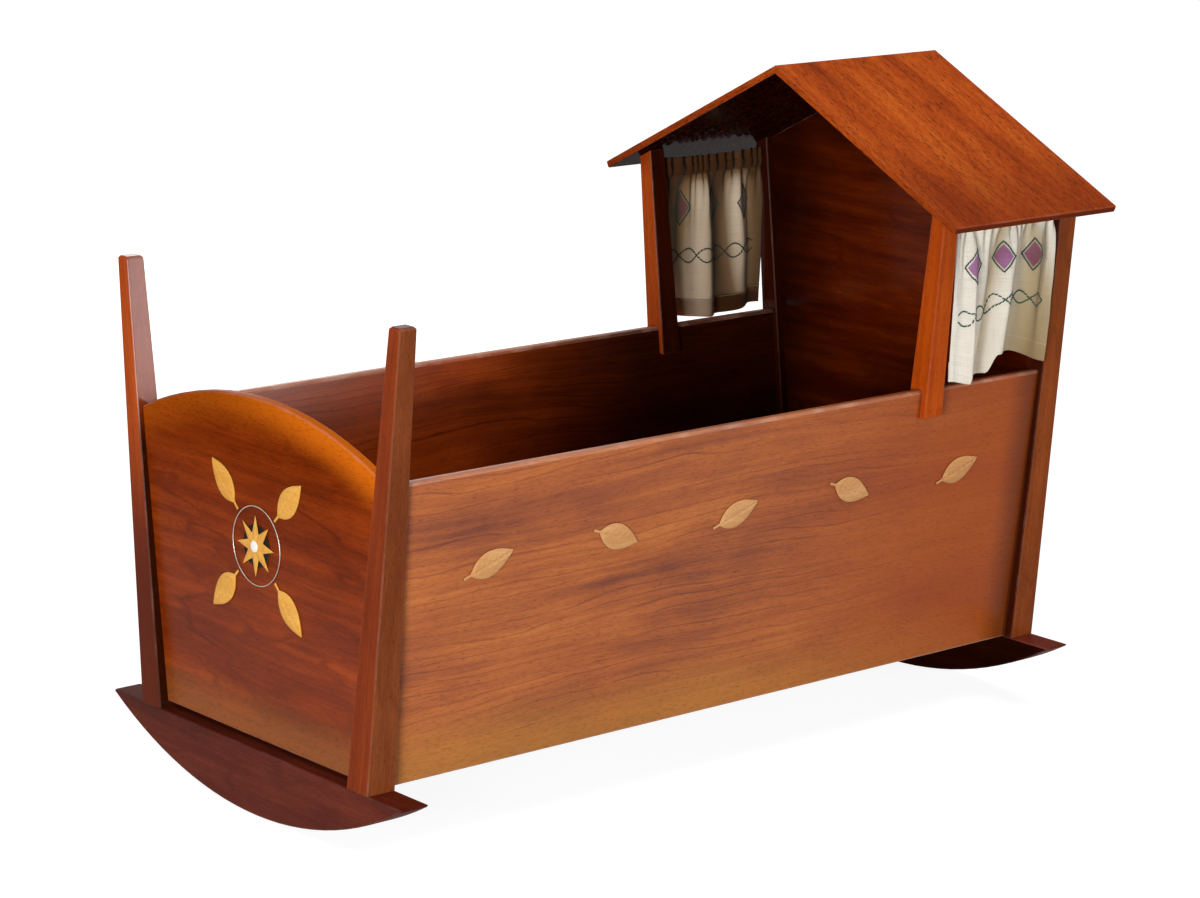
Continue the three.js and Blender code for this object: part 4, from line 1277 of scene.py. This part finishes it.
def add_floor():
    """A wide sheet of paper, white to the camera, that keeps the object's shadow."""
    mesh = bmesh.new()
    bmesh.ops.create_grid(mesh, x_segments=1, y_segments=1, size=FLOOR_HALF)
    floor = bpy.data.meshes.new("floor")
    mesh.to_mesh(floor)
    mesh.free()
    finish = Finish("floor_paper", Roughness=0.95, Specular_IOR_Level=0.1, Emission_Strength=1.0)
    reach = finish.node("ShaderNodeVectorMath", {"operation": "LENGTH"}, {0: finish.place()}, 1)
    paper = finish.mix(finish.ease(reach, 0.9, 3.0), (0.9, 0.9, 0.9), (1.0, 1.0, 1.0))
    white = finish.mix(seen_plainly(finish), (0.0, 0.0, 0.0), paper)
    finish.surface(Base_Color=(0.25, 0.25, 0.25), Emission_Color=white)
    floor.materials.append(finish.material)
    made = bpy.data.objects.new("floor", floor)
    bpy.context.scene.collection.objects.link(made)


def add_lamp(name, place, aim, size, power):
    """A softbox that isn't seen itself."""
    light = bpy.data.lights.new(name, "AREA")
    light.shape = "RECTANGLE"
    light.size, light.size_y = size
    light.energy = power
    lamp = bpy.data.objects.new(name, light)
    lamp.location = place
    lamp.visible_camera = False
    lamp.rotation_euler = (Vector(aim) - Vector(place)).to_track_quat("-Z", "Y").to_euler()
    bpy.context.scene.collection.objects.link(lamp)


# Each softbox: its place and aim in metres, its width and height, and its power in watts
LAMPS = {
    "left_softbox": ((-2.3, -1.5, 0.45), (0.0, -0.1, 0.35), (0.8, 0.7), 60),
    "right_strip": ((1.35, -2.6, 0.45), (0.0, -0.1, 0.35), (0.35, 0.8), 25),
    "foot_softbox": ((-1.9, 0.25, 2.5), (-0.1, 0, 0.35), (1.2, 1.2), 20),
    "top_softbox": ((1.1, -0.9, 2.7), (0.2, 0, 0.4), (1.4, 1.4), 38),
    "back_softbox": ((0.8, 3.0, 1.2), (0, 0, 0.3), (1.8, 1.8), 45),
}
ROOM_LIGHT = 0.035


def add_light():
    """The softboxes, and a room that is white to look at but lights the object little."""
    for name, lamp in LAMPS.items():
        add_lamp(name, *lamp)
    world = bpy.data.worlds.new("studio")
    surround = Surround(world)
    background = world.node_tree.nodes["Background"]
    surround.feed(background.inputs["Color"], (1, 1, 1))
    surround.feed(background.inputs["Strength"], ROOM_LIGHT + seen_plainly(surround) * (1 - ROOM_LIGHT))
    bpy.context.scene.world = world
    bpy.context.scene.view_settings.view_transform = "Standard"


photo_camera()
add_floor()
add_light()
for panel_side, panel_face in SIDES.items():
    dress_side(panel_side, panel_face)
dress_ends()
add_side_leaves()
add_foot_ornament()
dress_wires()
for curtain_side in SIDES:
    add_curtain(curtain_side)
